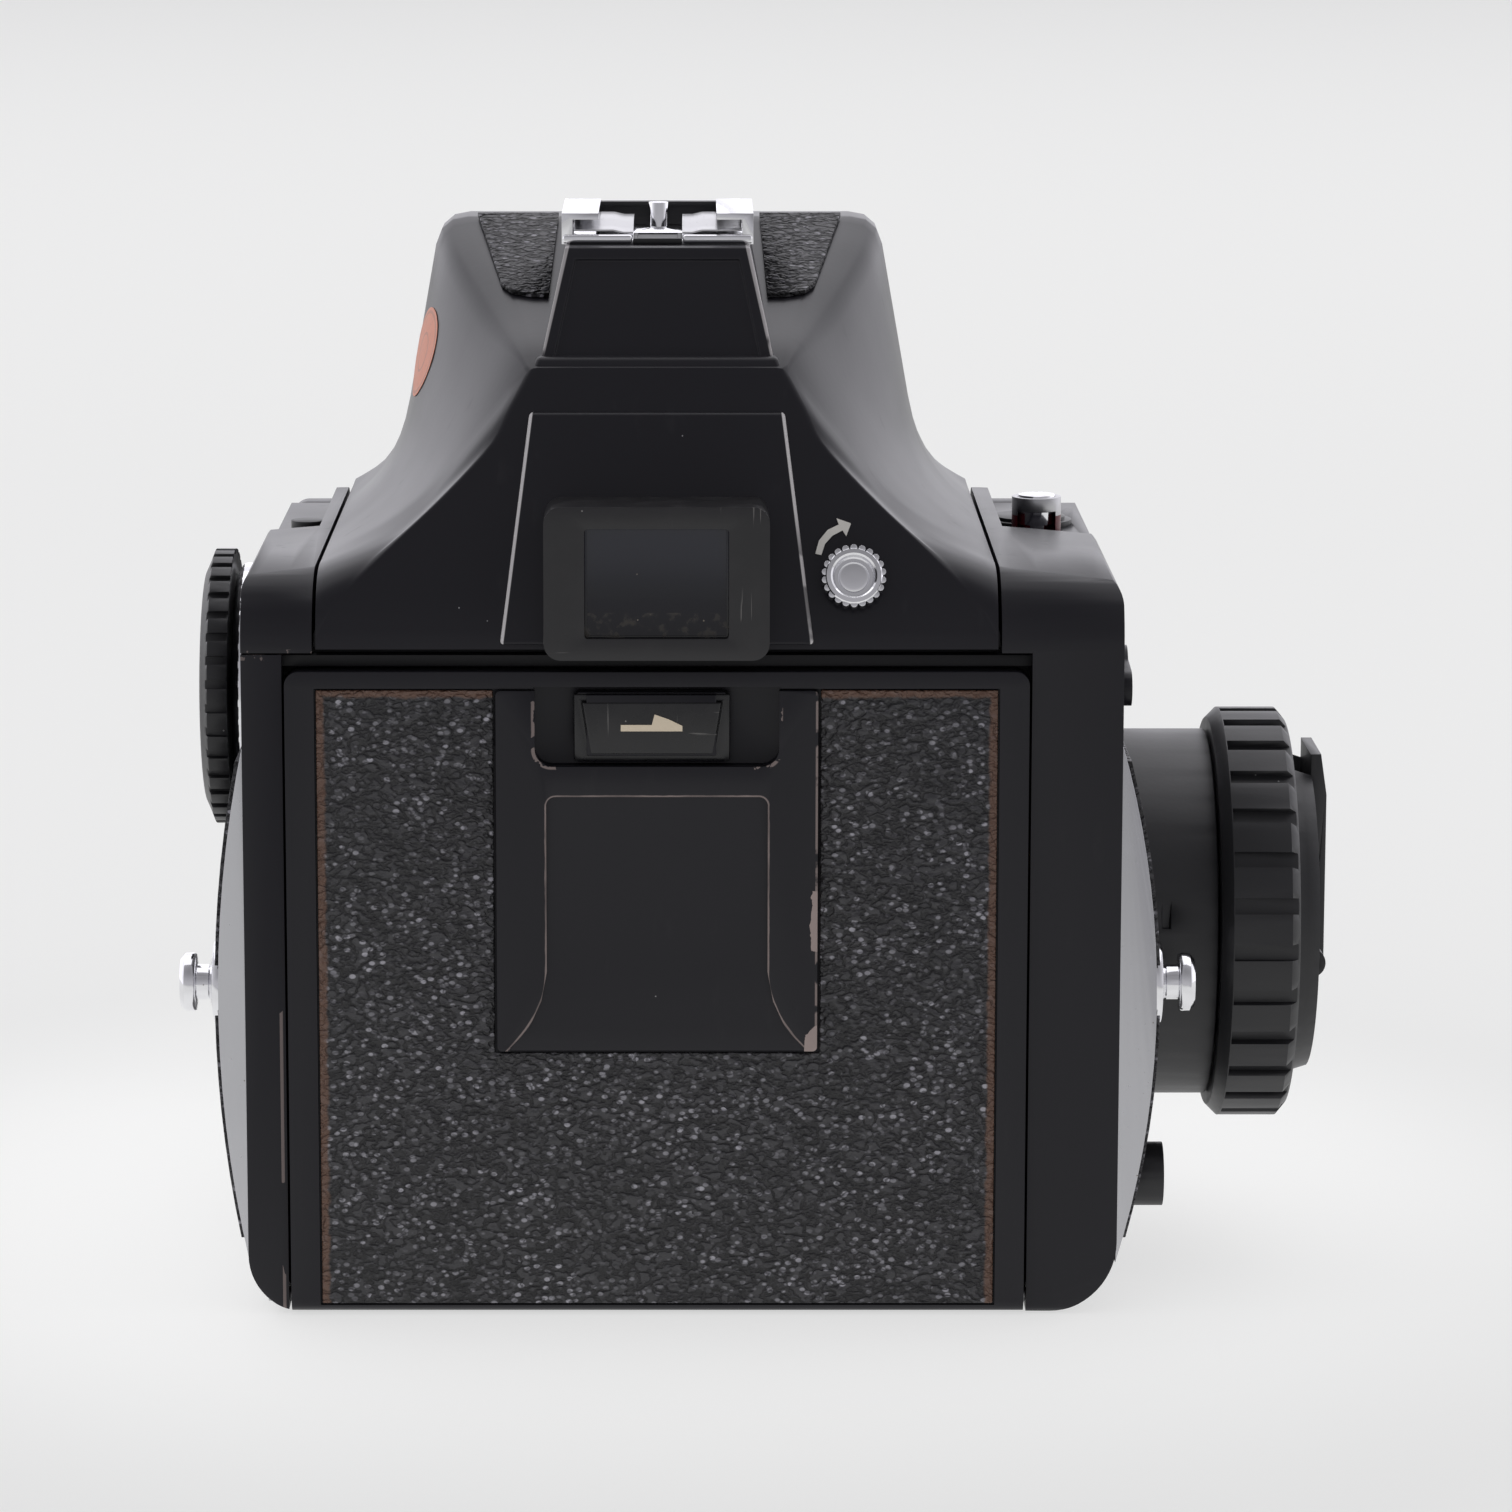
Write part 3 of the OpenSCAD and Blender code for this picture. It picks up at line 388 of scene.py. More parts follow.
def leather(name, warm_edge=None, shade_tone=1.0, depth=0.3, ior=1.5):
    """Pebbled leatherette: soft grains, wandering creases that run at a slant with painted shade in them, and painted
    bright glints on the grains; its tone can be lowered to paint shade into the whole colour.
    """
    f = Finish(name)
    slant = f.stretch((0.8, 0.95, 1.15), (0, math.radians(32), 0))
    crease = f.between(abs(f.noise(2.6, 2, slant) - 0.5), 0.0, 0.05)
    small = f.between(abs(f.noise(1.3, 2, slant) - 0.5), 0.0, 0.09)
    pebble = f.between(f.cells(0.95, where=slant), 0.75, 0.1)
    grain = f.noise(0.5, 3, slant)
    height = crease * 0.45 + small * 0.55 + pebble * 0.5 + grain * 0.55
    # painted shade: the creases are painted darker and the grain tops lighter
    colour = f.mix(crease * small, grey(0.013 * shade_tone), grey(0.038 * shade_tone))
    band = f.between(f.noise(5, 2, slant) + 0.25 * f.noise(1.6, 1), 0.48, 0.74)
    # painted highlights: bright glints painted into the colour on chosen grains
    painted_glint = f.between(f.cells(0.8, where=slant), 0.44, 0.26)
    lit = f.split(f.cells(0.8, out=1, where=slant), 0)
    colour = f.mix(both(painted_glint, lit, 0.35 + 0.65 * band, 0.3 + 0.7 * small), colour, grey(0.42 * shade_tone))
    if warm_edge:
        colour = f.mix(warm_edge(f), colour, (0.14, 0.075, 0.05))
    return f.shade(Base_Color=colour, Roughness=0.48 - 0.12 * small + 0.12 * grain,
                   Normal=f.bump(height, depth), IOR=ior)


def bright(name, colour=(0.86, 0.86, 0.88), gloss=0.1, scratches=0.3):
    f = Finish(name)
    line = f.between(f.noise(0.5, 4, f.stretch((1, 0.06, 1.0))), 0.6, 0.75)
    haze = f.between(f.noise(6, 3), 0.5, 0.8)
    pit = dust(f, 0.7, 1.6, 0.05)
    return f.shade(Base_Color=f.mix(pit, f.mix(haze * 0.3, colour, (0.6, 0.6, 0.63)), (0.2, 0.17, 0.15)),
                   Metallic=1.0, Roughness=gloss + scratches * 0.25 * line + 0.1 * haze,
                   Normal=f.bump(line, 0.002))


def moulded(name, colour=(0.012, 0.012, 0.0135), gloss=0.42, grain=0.5, ior=1.5):
    f = Finish(name)
    fine = f.noise(grain, 2)
    cloud = f.noise(9, 3)
    speck = dust(f, 0.85, 2.4, 0.04)
    return f.shade(Base_Color=f.mix(speck, f.mix(cloud * 0.4, colour, (0.02, 0.02, 0.022)), (0.28, 0.28, 0.28)),
                   Roughness=gloss - 0.08 + 0.16 * cloud, Normal=f.bump(fine, 0.01), IOR=ior)


def plain(name, colour, gloss, metal=0.0, change=0.3, grain=1.5):
    f = Finish(name)
    cloud = f.noise(grain * 4, 3)
    dark = tuple(c * (1 - change) for c in colour)
    return f.shade(Base_Color=f.mix(cloud, dark, colour), Metallic=metal, Roughness=gloss - 0.06 + 0.12 * cloud,
                   Normal=f.bump(f.noise(grain, 2), 0.006))


def clear(name, tint, gloss=0.03, through=0.85):
    f = Finish(name)
    smear = f.between(f.noise(5, 4), 0.5, 0.85)
    return f.shade(Base_Color=f.mix(smear * 0.15, tint, (0.5, 0.52, 0.55)), Roughness=gloss + 0.08 * smear,
                   Transmission_Weight=through, IOR=1.5)


def door_edge(f):
    """The brown cut edge of the door's leather, left, right and above."""
    fray = f.noise(1.2, 3) * 0.0007
    side = f.between(abs(f.x) + fray, 0.0361, 0.0365)
    top = f.between(f.z + fray, 0.0690, 0.0694)
    return f.node("ShaderNodeMath", {"operation": "MAXIMUM"}, {0: side, 1: top}) * 0.9


black = enamel("black_enamel")
dull_black = enamel("chassis_black", (0.012, 0.012, 0.013), 0.5)
memo_black = enamel("memo_black", wear_and_highlight=memo_wear)
# painted highlights: pale grey painted along the raised panel's side edges
panel_black_painted_highlight = enamel("panel_black_painted_highlight", wear_and_highlight=panel_painted_highlight, bare_and_highlight_colour=(0.62, 0.6, 0.6))
# painted highlights: pale grey painted in patches along the ridge's rear edges
ridge_black_painted_highlight = enamel("ridge_black_painted_highlight", wear_and_highlight=ridge_painted_highlight, bare_and_highlight_colour=(0.5, 0.48, 0.48))
cover_black = enamel("cover_black", wear_and_highlight=cover_wear)
leatherette = leather("leatherette")
door_hide = leather("door_leatherette", door_edge)
# painted shade: the roof's leatherette is a darker copy, for the roof that the overhead lamp lights from above
roof_hide_painted_shade = leather("roof_leatherette_painted_shade", shade_tone=0.7, ior=1.3)
chrome = bright("chrome")
plate_chrome = bright("plate_chrome", (0.5, 0.5, 0.52), 0.2, 0.4)
steel = bright("steel", (0.55, 0.55, 0.56), 0.3, 0.5)
plastic = moulded("black_plastic")
inner = plain("inner_black", (0.015, 0.015, 0.015), 0.7)
cloth = plain("shutter_cloth", (0.012, 0.012, 0.012), 0.85, grain=0.3)
brass = plain("brass", (0.62, 0.44, 0.18), 0.3, 1.0)
red = plain("red_mark", (0.32, 0.02, 0.035), 0.35)
can = plain("battery_steel", (0.6, 0.6, 0.6), 0.25, 1.0)
anodised = moulded("lens_black", (0.008, 0.008, 0.0095), 0.42, 0.3, 1.3)
glass = clear("coated_glass", (0.7, 0.75, 0.9), through=1.0)
screen = clear("ground_glass", (0.85, 0.87, 0.87), 0.4, 0.5)
silver = plain("front_silvered", (0.9, 0.91, 0.93), 0.04, 1.0, 0.03, 8)
white = plain("white_mark", (0.8, 0.78, 0.72), 0.5, change=0.15, grain=0.4)
cream = plain("cream_mark", (0.86, 0.74, 0.56), 0.5, change=0.15, grain=0.4)


def handled(name, colour, gloss):
    """Dark plastic with hair scratches and pale dust in its corners."""
    f = Finish(name)
    hair = f.noise(1.3, 2, f.stretch((3, 1, 0.12), (0, math.radians(24), 0)))
    cross = f.noise(1.6, 2, f.stretch((0.12, 1, 3), (0, math.radians(12), 0)))
    lines = either(f, f.between(hair, 0.7, 0.74), f.between(cross, 0.72, 0.76))
    scratch = both(lines, f.between(f.noise(6, 2), 0.45, 0.6))
    speck = dust(f, 0.7, 1.5, 0.06)
    film = f.between(f.noise(3, 4), 0.4, 0.8)
    return f.shade(Base_Color=f.mix(either(f, scratch * 0.5, speck), f.mix(film * 0.5, colour, (0.022, 0.021, 0.022)),
                                    (0.24, 0.23, 0.22)),
                   Roughness=gloss + 0.12 * film + 0.15 * scratch, Normal=f.bump(f.noise(0.5, 2), 0.008))


def dark_window():
    """Painted dark glass: near-black painted shade for the tunnel behind it, a painted blue reflection at the top,
    and a dusty lower edge.
    """
    f = Finish("window_glass")
    # painted reflection: bluer towards the top; painted shade: the near-black colour stands for the dark tunnel
    # behind the glass
    painted_reflection_mask = f.between(f.z, 0.0765, 0.086)
    grime = both(f.between(f.noise(1.2, 4), 0.5, 0.7), f.z < 0.0785)
    speck = dust(f, 0.6, 1.8, 0.05)
    painted_depth_and_reflection = f.mix(painted_reflection_mask, (0.003, 0.003, 0.005), (0.006, 0.007, 0.016))
    return f.shade(Base_Color=f.mix(either(f, speck * 0.6, grime * 0.12), painted_depth_and_reflection, (0.3, 0.26, 0.2)),
                   Roughness=0.12 + 0.5 * grime, Normal=f.bump(f.noise(9, 1), 0.02))


def banded_collar():
    """Steel collar with a dark red band round its foot."""
    f = Finish("collar_steel")
    band = f.z < 0.0816
    smear = f.noise(3, 3)
    return f.shade(Base_Color=f.mix(band, (0.5, 0.5, 0.51), f.mix(smear, (0.09, 0.008, 0.014), (0.16, 0.012, 0.02))),
                   Metallic=1 - band, Roughness=0.25 + 0.2 * smear)


def sticker_finish():
    """Plain orange paper with two thin darker rings."""
    f = Finish("sticker_orange")
    out = f.node("ShaderNodeVectorMath", {"operation": "LENGTH"},
                 {0: f.node("ShaderNodeMapping", {}, {"Vector": f.place, "Location": (0, -0.788, -19.765),
                                                       "Scale": (0, 151.5, 196.1)})}, 1)
    rings = either(f, abs(out - 0.9) < 0.035, abs(out - 0.42) < 0.03)
    fleck = f.between(f.noise(0.8, 3), 0.5, 0.75)
    return f.shade(Base_Color=f.mix(either(f, rings * 0.55, fleck * 0.25), (0.62, 0.19, 0.09), (0.3, 0.11, 0.06)),
                   Roughness=0.45, Normal=f.bump(fleck, 0.01))


eye_plastic = handled("eyepiece_plastic", (0.013, 0.0125, 0.014), 0.3)
tab_black = handled("latch_black", (0.009, 0.009, 0.01), 0.25)
window_glass = dark_window()
sticker_orange = sticker_finish()
collar_red = banded_collar()

FINISHES = {
    "chassis_alloy": dull_black, "black_enamel": black, "inner_black": inner, "leatherette": leatherette,
    "chrome": chrome, "steel": steel, "black_plastic": plastic, "red_mark": red, "brass_gear": brass,
    "glass": glass, "screen_glass": screen, "mirror_silver": silver, "shutter_cloth": cloth,
    "battery_steel": can, "lens_black": anodised}
# nodes whose finish isn't their slot's
SPECIAL = {
    "finder_leather": roof_hide_painted_shade, "top_release": chrome, "release_collar": collar_red, "door_leather": door_hide,
    "memo_frame": memo_black, "left_side_cover": cover_black, "left_top_cover": cover_black,
    "side_plates": plate_chrome}
# widths of the rounded edges in millimetres
SOFT = {"left_side_cover": 0.5, "right_side_cover": 0.5, "left_top_cover": 0.4, "film_door": 0.35,
        "side_plates": 0.3, "front_plate": 0.5, "base_plate": 0.4, "memo_frame": 0.2,
        "door_latch": 0.15, "winder_housing": 0.3,
        "dial_base": 0.3, "knob_release": 0.4, "release_collar": 0.25, "top_release": 0.25, "front_release": 0.3,
        "lens_release": 0.3, "mirror_lever": 0.3, "exposure_lever": 0.3, "strap_lugs": 0.12, "sync_sockets": 0.15,
        "door_leather": 0.15, "side_leathers": 0.15, "front_leathers": 0.15, "lens_barrel": 0.3,
        "aperture_ring": 0.15, "focus_ring": 0.25, "front_barrel": 0.3, "lens_mount_ring": 0.2,
        "frame_counter": 0.2, "battery_button": 0.2, "crank_arm": 0.3, "crank_handle": 0.3, "finder_base": 0.2,
        "speed_dial": 0.15, "wind_knob": 0.2, "eyepiece": 0.4, "accessory_shoe": 0.15, "finder_housing": 0.3}

FINE_EDGE = 0.08  # for every other node

# ---------- carried-over CAD pieces ----------
slot_of = {row["node"]: row["material_slot"] for row in frame["record"]["subparts"]}
for node, piece in frame["nodes"].items():
    hold(piece)
    bpy.ops.object.shade_smooth()
    piece.data.materials.clear()
    piece.data.materials.append(SPECIAL.get(node) or FINISHES[slot_of[node]])
    weld = piece.modifiers.new("weld", "WELD")
    weld.merge_threshold = 2e-6
    soft = piece.modifiers.new("soft", "BEVEL")
    soft.width = SOFT.get(node, FINE_EDGE) * MM
    soft.segments = 2
    soft.limit_method = "ANGLE"
    soft.angle_limit = math.radians(33)
    soft.use_clamp_overlap = True
    soft.harden_normals = True


# ---------- finder housing ----------
ROOF = 0.2676     # rise of the roof for each millimetre forward


def roof_z(y):
    return 104.3 + (y + 30.6) * ROOF


# Stations from the rear foot, up the rear face, along the roof and down the front: skirt edge, knee, upper edge.
STATIONS = [
    ((36.8, -43.4, 74.5), (36.7, -43.35, 74.9), (36.5, -43.3, 75.3)),
    ((36.8, -43.1, 76.4), (36.0, -42.8, 77.2), (35.1, -42.4, 78.2)),
    ((36.8, -42.2, 78.6), (34.0, -41.6, 80.0), (31.4, -40.9, 81.9)),
    ((36.8, -40.6, 80.4), (32.0, -40.0, 82.4), (27.7, -39.4, 85.6)),
    ((36.8, -38.4, 81.5), (29.3, -38.0, 84.4), (22.4, -37.4, 90.6)),
    ((36.8, -35.0, 82.0), (27.6, -35.2, 85.6), (17.6, -35.3, 95.8)),
    ((36.8, -31.0, 82.0), (27.0, -32.2, 86.4), (15.8, -33.9, 99.4)),
    ((36.8, -26.5, 82.0), (27.0, -28.8, 87.0), (13.8, -32.2, 103.2)),
    ((36.8, -20.0, 82.0), (27.5, -22.0, 87.3), (15.3, -27.0, roof_z(-27))),
    ((36.8, -13.0, 82.0), (28.2, -14.5, 87.5), (17.8, -18.0, roof_z(-18))),
    ((36.8, -5.0, 82.0), (29.1, -6.0, 87.6), (20.9, -7.0, roof_z(-7))),
    ((36.8, 3.0, 82.0), (29.9, 3.0, 87.7), (23.8, 4.0, roof_z(4))),
    ((36.8, 11.0, 82.0), (30.2, 11.0, 87.8), (25.3, 12.4, 115.7)),
    ((36.8, 19.0, 82.0), (30.2, 19.5, 87.8), (25.3, 20.0, 115.7)),
    ((36.8, 25.0, 82.0), (30.5, 24.6, 87.4), (26.5, 24.2, 107.0)),
    ((36.8, 31.0, 82.0), (30.9, 29.6, 86.6), (28.1, 29.2, 96.0)),
    ((36.8, 36.0, 82.0), (31.6, 34.6, 85.0), (29.6, 33.6, 87.2)),
    ((36.8, 39.0, 81.2), (33.4, 38.4, 82.2), (31.6, 37.4, 83.0)),
    ((36.8, 40.0, 79.5), (35.0, 40.0, 79.5), (33.0, 40.0, 79.5))]
FINE = 4      # rows between two stations
SIDE = 14     # columns up each side
TOP = 12      # columns across the top


def eased(points, s):
    """A point at station s on a smooth curve through the stations' points; it keeps the corners at 7, 12 and 13."""
    i = min(int(s), len(points) - 2)
    t = s - i
    a, b = Vector(points[i]), Vector(points[i + 1])
    before = Vector(points[i - 1]) if i > 0 and i not in (7, 12, 13) else a * 2 - b
    after = Vector(points[i + 2]) if i + 2 < len(points) and i + 1 not in (7, 12, 13) else b * 2 - a
    return ((a * 3 - b * 3 - before + after) * t ** 3 + (before * 2 - a * 5 + b * 4 - after) * t ** 2
            + (b - before) * t + a * 2) / 2


def bent(a, b, c, u):
    """A point on the curve that leaves a towards b and reaches c from b."""
    return a * (1 - u) ** 2 + b * 2 * u * (1 - u) + c * u ** 2


def side_curve(foot, knee, head, t):
    """From the skirt's edge to the upper edge, rounded at the knee."""
    a = foot.lerp(knee, 0.42)
    b = knee.lerp(head, 0.3)
    if t < 0.22:
        return foot.lerp(a, t / 0.22)
    if t < 0.62:
        return bent(a, knee, b, (t - 0.22) / 0.4)
    return b.lerp(head, (t - 0.62) / 0.38)


def corner(s, side_length):
    """Radius of the rounding between side and top: small on the rear face, wide on the roof, small down the front."""
    wide = min(max((s - 7.2) / 2.3, 0), 1, max((14.5 - s) / 1.5, 0))
    return min(0.8 + 2.4 * wide * wide * (3 - 2 * wide), 0.3 * side_length)


def shell_place(s, side):
    """Where column number side, counted from the outer edge, stands at station s."""
    foot, knee, head = (eased(curve, s) for curve in CURVES)
    radius = corner(s, (knee - head).length)
    top = Vector((head.x - radius, head.y, head.z))
    down = head + (knee - head).normalized() * radius
    if side < SIDE:
        return side_curve(foot, knee, down, (side - 1) / (SIDE - 1))
    if side <= SIDE + 3:
        return bent(down, head, top, (side - SIDE) / 3)
    return Vector((top.x * (1 - (side - SIDE - 3) * 2 / (TOP - 4)), head.y, head.z))


CURVES = [[station[k] for station in STATIONS] for k in range(3)]


def finder_shell():
    rows = (len(STATIONS) - 1) * FINE
    columns = 2 * (SIDE + 1) + TOP
    deselect()
    bpy.ops.mesh.primitive_grid_add(x_subdivisions=columns, y_subdivisions=rows + 2, size=1)
    piece = settle(added("finder_shell"))
    for i, vertex in enumerate(piece.data.vertices):
        row, column = divmod(i, columns + 1)
        s = min(max(row - 1, 0), rows) / FINE
        side = min(column, columns - column)
        place = shell_place(s, max(side, 1))
        if side == 0 or row in (0, rows + 2):
            place.z = 74.0
        if row in (0, rows + 2):
            place.y = -43.4 if row == 0 else 40.0
        if column > columns / 2:
            place.x = -place.x
        vertex.co = place * MM
    tidy_normals(piece)
    hold(piece)
    soft = piece.modifiers.new("soft", "BEVEL")
    soft.width = 0.7 * MM
    soft.segments = 4
    soft.limit_method = "ANGLE"
    soft.angle_limit = math.radians(33)
    soft.use_clamp_overlap = True
    bpy.ops.object.modifier_apply(modifier=soft.name)
    wall = piece.modifiers.new("wall", "SOLIDIFY")
    wall.thickness = 1.5 * MM
    wall.offset = -1
    bpy.ops.object.modifier_apply(modifier=wall.name)
    bpy.ops.object.shade_smooth_by_angle(angle=math.radians(40))
    return piece


shell = fit(finder_shell(), "finder", "black_enamel", black, "finder_housing")


# ---------- detail of the finder ----------
LEAN = 0.394      # how far the rear face leans forward for each millimetre up


def face_y(z):
    """Where the shell's rear face is at a height."""
    upper = CURVES[2]
    for a, b in zip(upper, upper[1:8]):
        if z <= b[2]:
            break
    return a[1] + (b[1] - a[1]) * (z - a[2]) / (b[2] - a[2])


def reshape(piece, test, centre, scale=(1, 1, 1), shift=(0, 0, 0)):
    """Scales the chosen vertices about a centre and moves them, in millimetres."""
    edit(piece)
    choose(piece, "VERT", test)
    bpy.ops.transform.resize(value=scale, center_override=Vector(centre) * MM)
    bpy.ops.transform.translate(value=Vector(shift) * MM)
    leave()
    return piece


def sink(piece, test, border, depth, steps=1, slope=1.0):
    """Insets the chosen face and pushes it inwards."""
    edit(piece)
    choose(piece, "FACE", test)
    bpy.ops.mesh.inset(thickness=border * MM, depth=0)
    for _ in range(steps):
        bpy.ops.mesh.extrude_region_shrink_fatten(TRANSFORM_OT_shrink_fatten={"value": -depth * MM / steps})
    leave()
    return piece


def strip(name, lower, upper, proud):
    """A painted mark: a thin strip between two outlines of (x, z), laid on a surface given by proud(z)."""
    deselect()
    bpy.ops.mesh.primitive_grid_add(x_subdivisions=1, y_subdivisions=len(lower) - 1, size=1)
    piece = settle(added(name))
    for i, vertex in enumerate(piece.data.vertices):
        row, side = divmod(i, 2)
        x, z = (lower, upper)[side][row]
        vertex.co = Vector((x, proud(z), z)) * MM
    hold(piece)
    thick = piece.modifiers.new("thick", "SOLIDIFY")
    thick.thickness = 0.06 * MM
    bpy.ops.object.modifier_apply(modifier=thick.name)
    return tidy_normals(piece)


panel = block("finder_rear_panel", (-16.9, -44.2, 74.6), (16.9, -42.9, 98.6))
reshape(panel, lambda v: v.z > 90, (0, 0, 98.6), (13.85 / 16.9, 1, 1), (0, (98.6 - 74.6) * LEAN, 0))
fit(round_edges(panel, 0.42, 4), "finder", "black_enamel", panel_black_painted_highlight)

ridge = block("finder_ridge", (-12.9, -30.8, 103), (12.9, 10.5, 115.68))
reshape(ridge, lambda v: v.z > 110, (0, 0, 115.68), (10.1 / 12.9, 1, 1))
reshape(ridge, lambda v: v.z > 110 and v.y < -20, (0, 0, 115.68), shift=(0, 5.3, 0))
sink(ridge, lambda c, n: n.y < -0.8, 1.35, 0.4)
fit(round_edges(ridge, 0.4, 3, 20), "finder", "black_enamel", ridge_black_painted_highlight)

foot = block("finder_ridge_foot", (-13.7, -32.3, 102.7), (13.7, -28, 104.3))
reshape(foot, lambda v: v.z > 104, (0, 0, 104.3), (0.955, 1, 1), (0, 0.9, 0))
fit(round_edges(foot, 0.5, 4), "finder", "black_enamel", black)

eye = block("eyepiece_frame", (-12.1, -47.55, 73.45), (12.1, -39, 90))
edit(eye)
choose(eye, "EDGE", lambda middle, along: abs(along.y) > 2)
bpy.ops.mesh.bevel(offset=1.8 * MM, segments=6, affect="EDGES")
leave()
sink(eye, lambda c, n: n.y < -0.8, 1.2, 0.01)
reshape(eye, lambda v: v.y < -47 and abs(v.x) < 11 and 74.4 < v.z < 89, (0, 0, 81.7), (7.86 / 10.9, 1, 6.05 / 7.07))
sink(eye, lambda c, n: n.y < -0.8 and abs(c.x) < 1 and 78 < c.z < 86, 0.12, 1.0)
fit(round_edges(eye, 0.32, 3, 40), "finder", "black_plastic", eye_plastic, "eyepiece")

pane = block("eyepiece_window", (-7.95, -46.75, 75.55), (7.95, -46.2, 87.95))
sink(pane, lambda c, n: n.y < -0.8, 0.5, 0.06)
fit(round_edges(pane, 0.08, 2), "finder", "glass", window_glass)

lock_axis = Vector((0, -0.927, 0.375))
lock_at = (21.2, -41.5, 81.25)
lock = turned("lock_screw_head", lock_at, lock_axis,
              [(1.5, -3), (1.5, 0.6), (2.9, 0.6), (3.1, 0.75), (3.1, 2.1), (2.95, 2.3), (2.5, 2.36), (2.3, 2.2),
               (2.2, 1.5), (2.05, 1.35), (1.75, 1.35), (1.6, 1.5), (1.3, 1.56), (0.5, 1.6), (0, 1.6)], 66)
across = lock_axis.cross(Vector((1, 0, 0))).normalized()
deselect()
bpy.ops.mesh.primitive_cylinder_add(
    vertices=12, radius=0.4 * MM, depth=1.5 * MM,
    location=(Vector(lock_at) + lock_axis * 1.4 + across * 3.12) * MM,
    rotation=lock_axis.to_track_quat("Z", "Y").to_euler())
bead = round_edges(settle(added("bead")), 0.16, 2)
join(lock, *copies(bead, 22, lock_at, lock_axis))
hold(lock)
bpy.ops.object.shade_smooth_by_angle(angle=math.radians(35))
fit(lock, "finder_lock", "chrome", chrome, "lock_screw")

curl = strip("lock_arrow",
             [(17.75, 83.8), (18.15, 84.95), (18.95, 85.8), (20.05, 86.35), (20.45, 85.75), (20.95, 87.0)],
             [(17.1, 83.95), (17.5, 85.3), (18.45, 86.4), (19.65, 86.95), (19.4, 87.6), (20.9, 87.1)],
             lambda z: face_y(z) - 0.12)
fit(curl, "finder", "black_enamel", white)

# round sticker on the roof's left side
deselect()
bpy.ops.mesh.primitive_circle_add(vertices=48, radius=1, fill_type="NGON", rotation=(0, math.radians(90), 0))
sticker = added("sticker")
sticker.scale = (5.1 * MM, 6.6 * MM, 5.1 * MM)
sticker.location = Vector((-32, 5.2, 100.8)) * MM
settle(sticker)
edit(sticker)
bpy.ops.mesh.select_all(action="SELECT")
for _ in range(5):
    bpy.ops.mesh.inset(thickness=0.85 * MM)
leave()
hold(sticker)
cling = sticker.modifiers.new("cling", "SHRINKWRAP")
cling.target = shell
cling.wrap_method = "PROJECT"
cling.use_project_x = True
cling.use_positive_direction = True
cling.use_negative_direction = False
cling.offset = 0.05 * MM
bpy.ops.object.modifier_apply(modifier=cling.name)
paper_thick = sticker.modifiers.new("thick", "SOLIDIFY")
paper_thick.thickness = 0.05 * MM
bpy.ops.object.modifier_apply(modifier=paper_thick.name)
tidy_normals(sticker)
hold(sticker)
bpy.ops.object.shade_smooth_by_angle(angle=math.radians(50))
fit(sticker, "finder", "red_mark", sticker_orange)

# ---------- accessory shoe ----------
for side in (-1, 1):
    hand = "left" if side < 0 else "right"
    near, far = sorted((side * 2.8, side * 10.45))
    lip = block(f"shoe_lip_{hand}", (near, -22.3, 115.75), (far, -21.2, 116.75))
    fit(round_edges(lip, 0.3, 3), "finder", "chrome", chrome)
    near, far = sorted((side * 2.7, side * 9.3))
    spring = block(f"shoe_spring_{hand}", (near, -20.6, 117.0), (far, -6, 117.2))
    edit(spring)
    bpy.ops.mesh.select_all(action="SELECT")
    bpy.ops.mesh.subdivide(number_cuts=5)
    leave()
    reshape(spring, lambda v: v.y > -12.5, (0, 0, 117), shift=(0, 0, 0.7))
    reshape(spring, lambda v: -15.5 < v.y < -12.5, (0, 0, 117), shift=(0, 0, 0.45))
    reshape(spring, lambda v: abs(v.x) < 4.2, (0, 0, 117), shift=(0, 0, -0.25))
    fit(round_edges(spring, 0.06, 2), "finder", "steel", steel)
stop = block("shoe_stop", (-7.0, -3.2, 115.7), (7.0, -1.6, 118.8))
sink(stop, lambda c, n: n.y < -0.8, 0.5, 0.2)
fit(round_edges(stop, 0.25, 3), "finder", "black_plastic", plastic)
notch = block("shoe_notch", (-2.7, -22.2, 115.72), (2.7, -15, 116.36))
sink(notch, lambda c, n: n.z > 0.8, 0.5, 0.15)
fit(round_edges(notch, 0.2, 2), "finder", "black_plastic", plastic)

# ---------- latch of the door ----------
tab = block("latch_tab", (-9.0, -43.15, 61.75), (7.9, -41.6, 69.1))
edit(tab)
choose(tab, "FACE", lambda c, n: n.y < -0.8)
bpy.ops.mesh.inset(thickness=0.75 * MM)
bpy.ops.mesh.extrude_region_shrink_fatten(TRANSFORM_OT_shrink_fatten={"value": 0.75 * MM})
leave()
reshape(tab, lambda v: v.y < -43.5, (-0.6, 0, 66), (0.97, 1, 0.97))
reshape(tab, lambda v: v.y < -43.1 and v.z < 64 and v.z > 62, (-0.6, 0, 62.4), (0.88, 1, 1))
fit(round_edges(tab, 0.22, 3), "latch", "black_plastic", tab_black)
pointer = strip("latch_arrow", [(-3.9, 65.15), (-0.55, 65.15), (-0.2, 65.15), (1.2, 65.15), (2.75, 65.15)],
                [(-3.9, 65.85), (-0.55, 65.85), (-0.25, 67.0), (1.3, 66.45), (2.75, 65.75)], lambda z: -43.98)
fit(pointer, "latch", "black_plastic", cream)


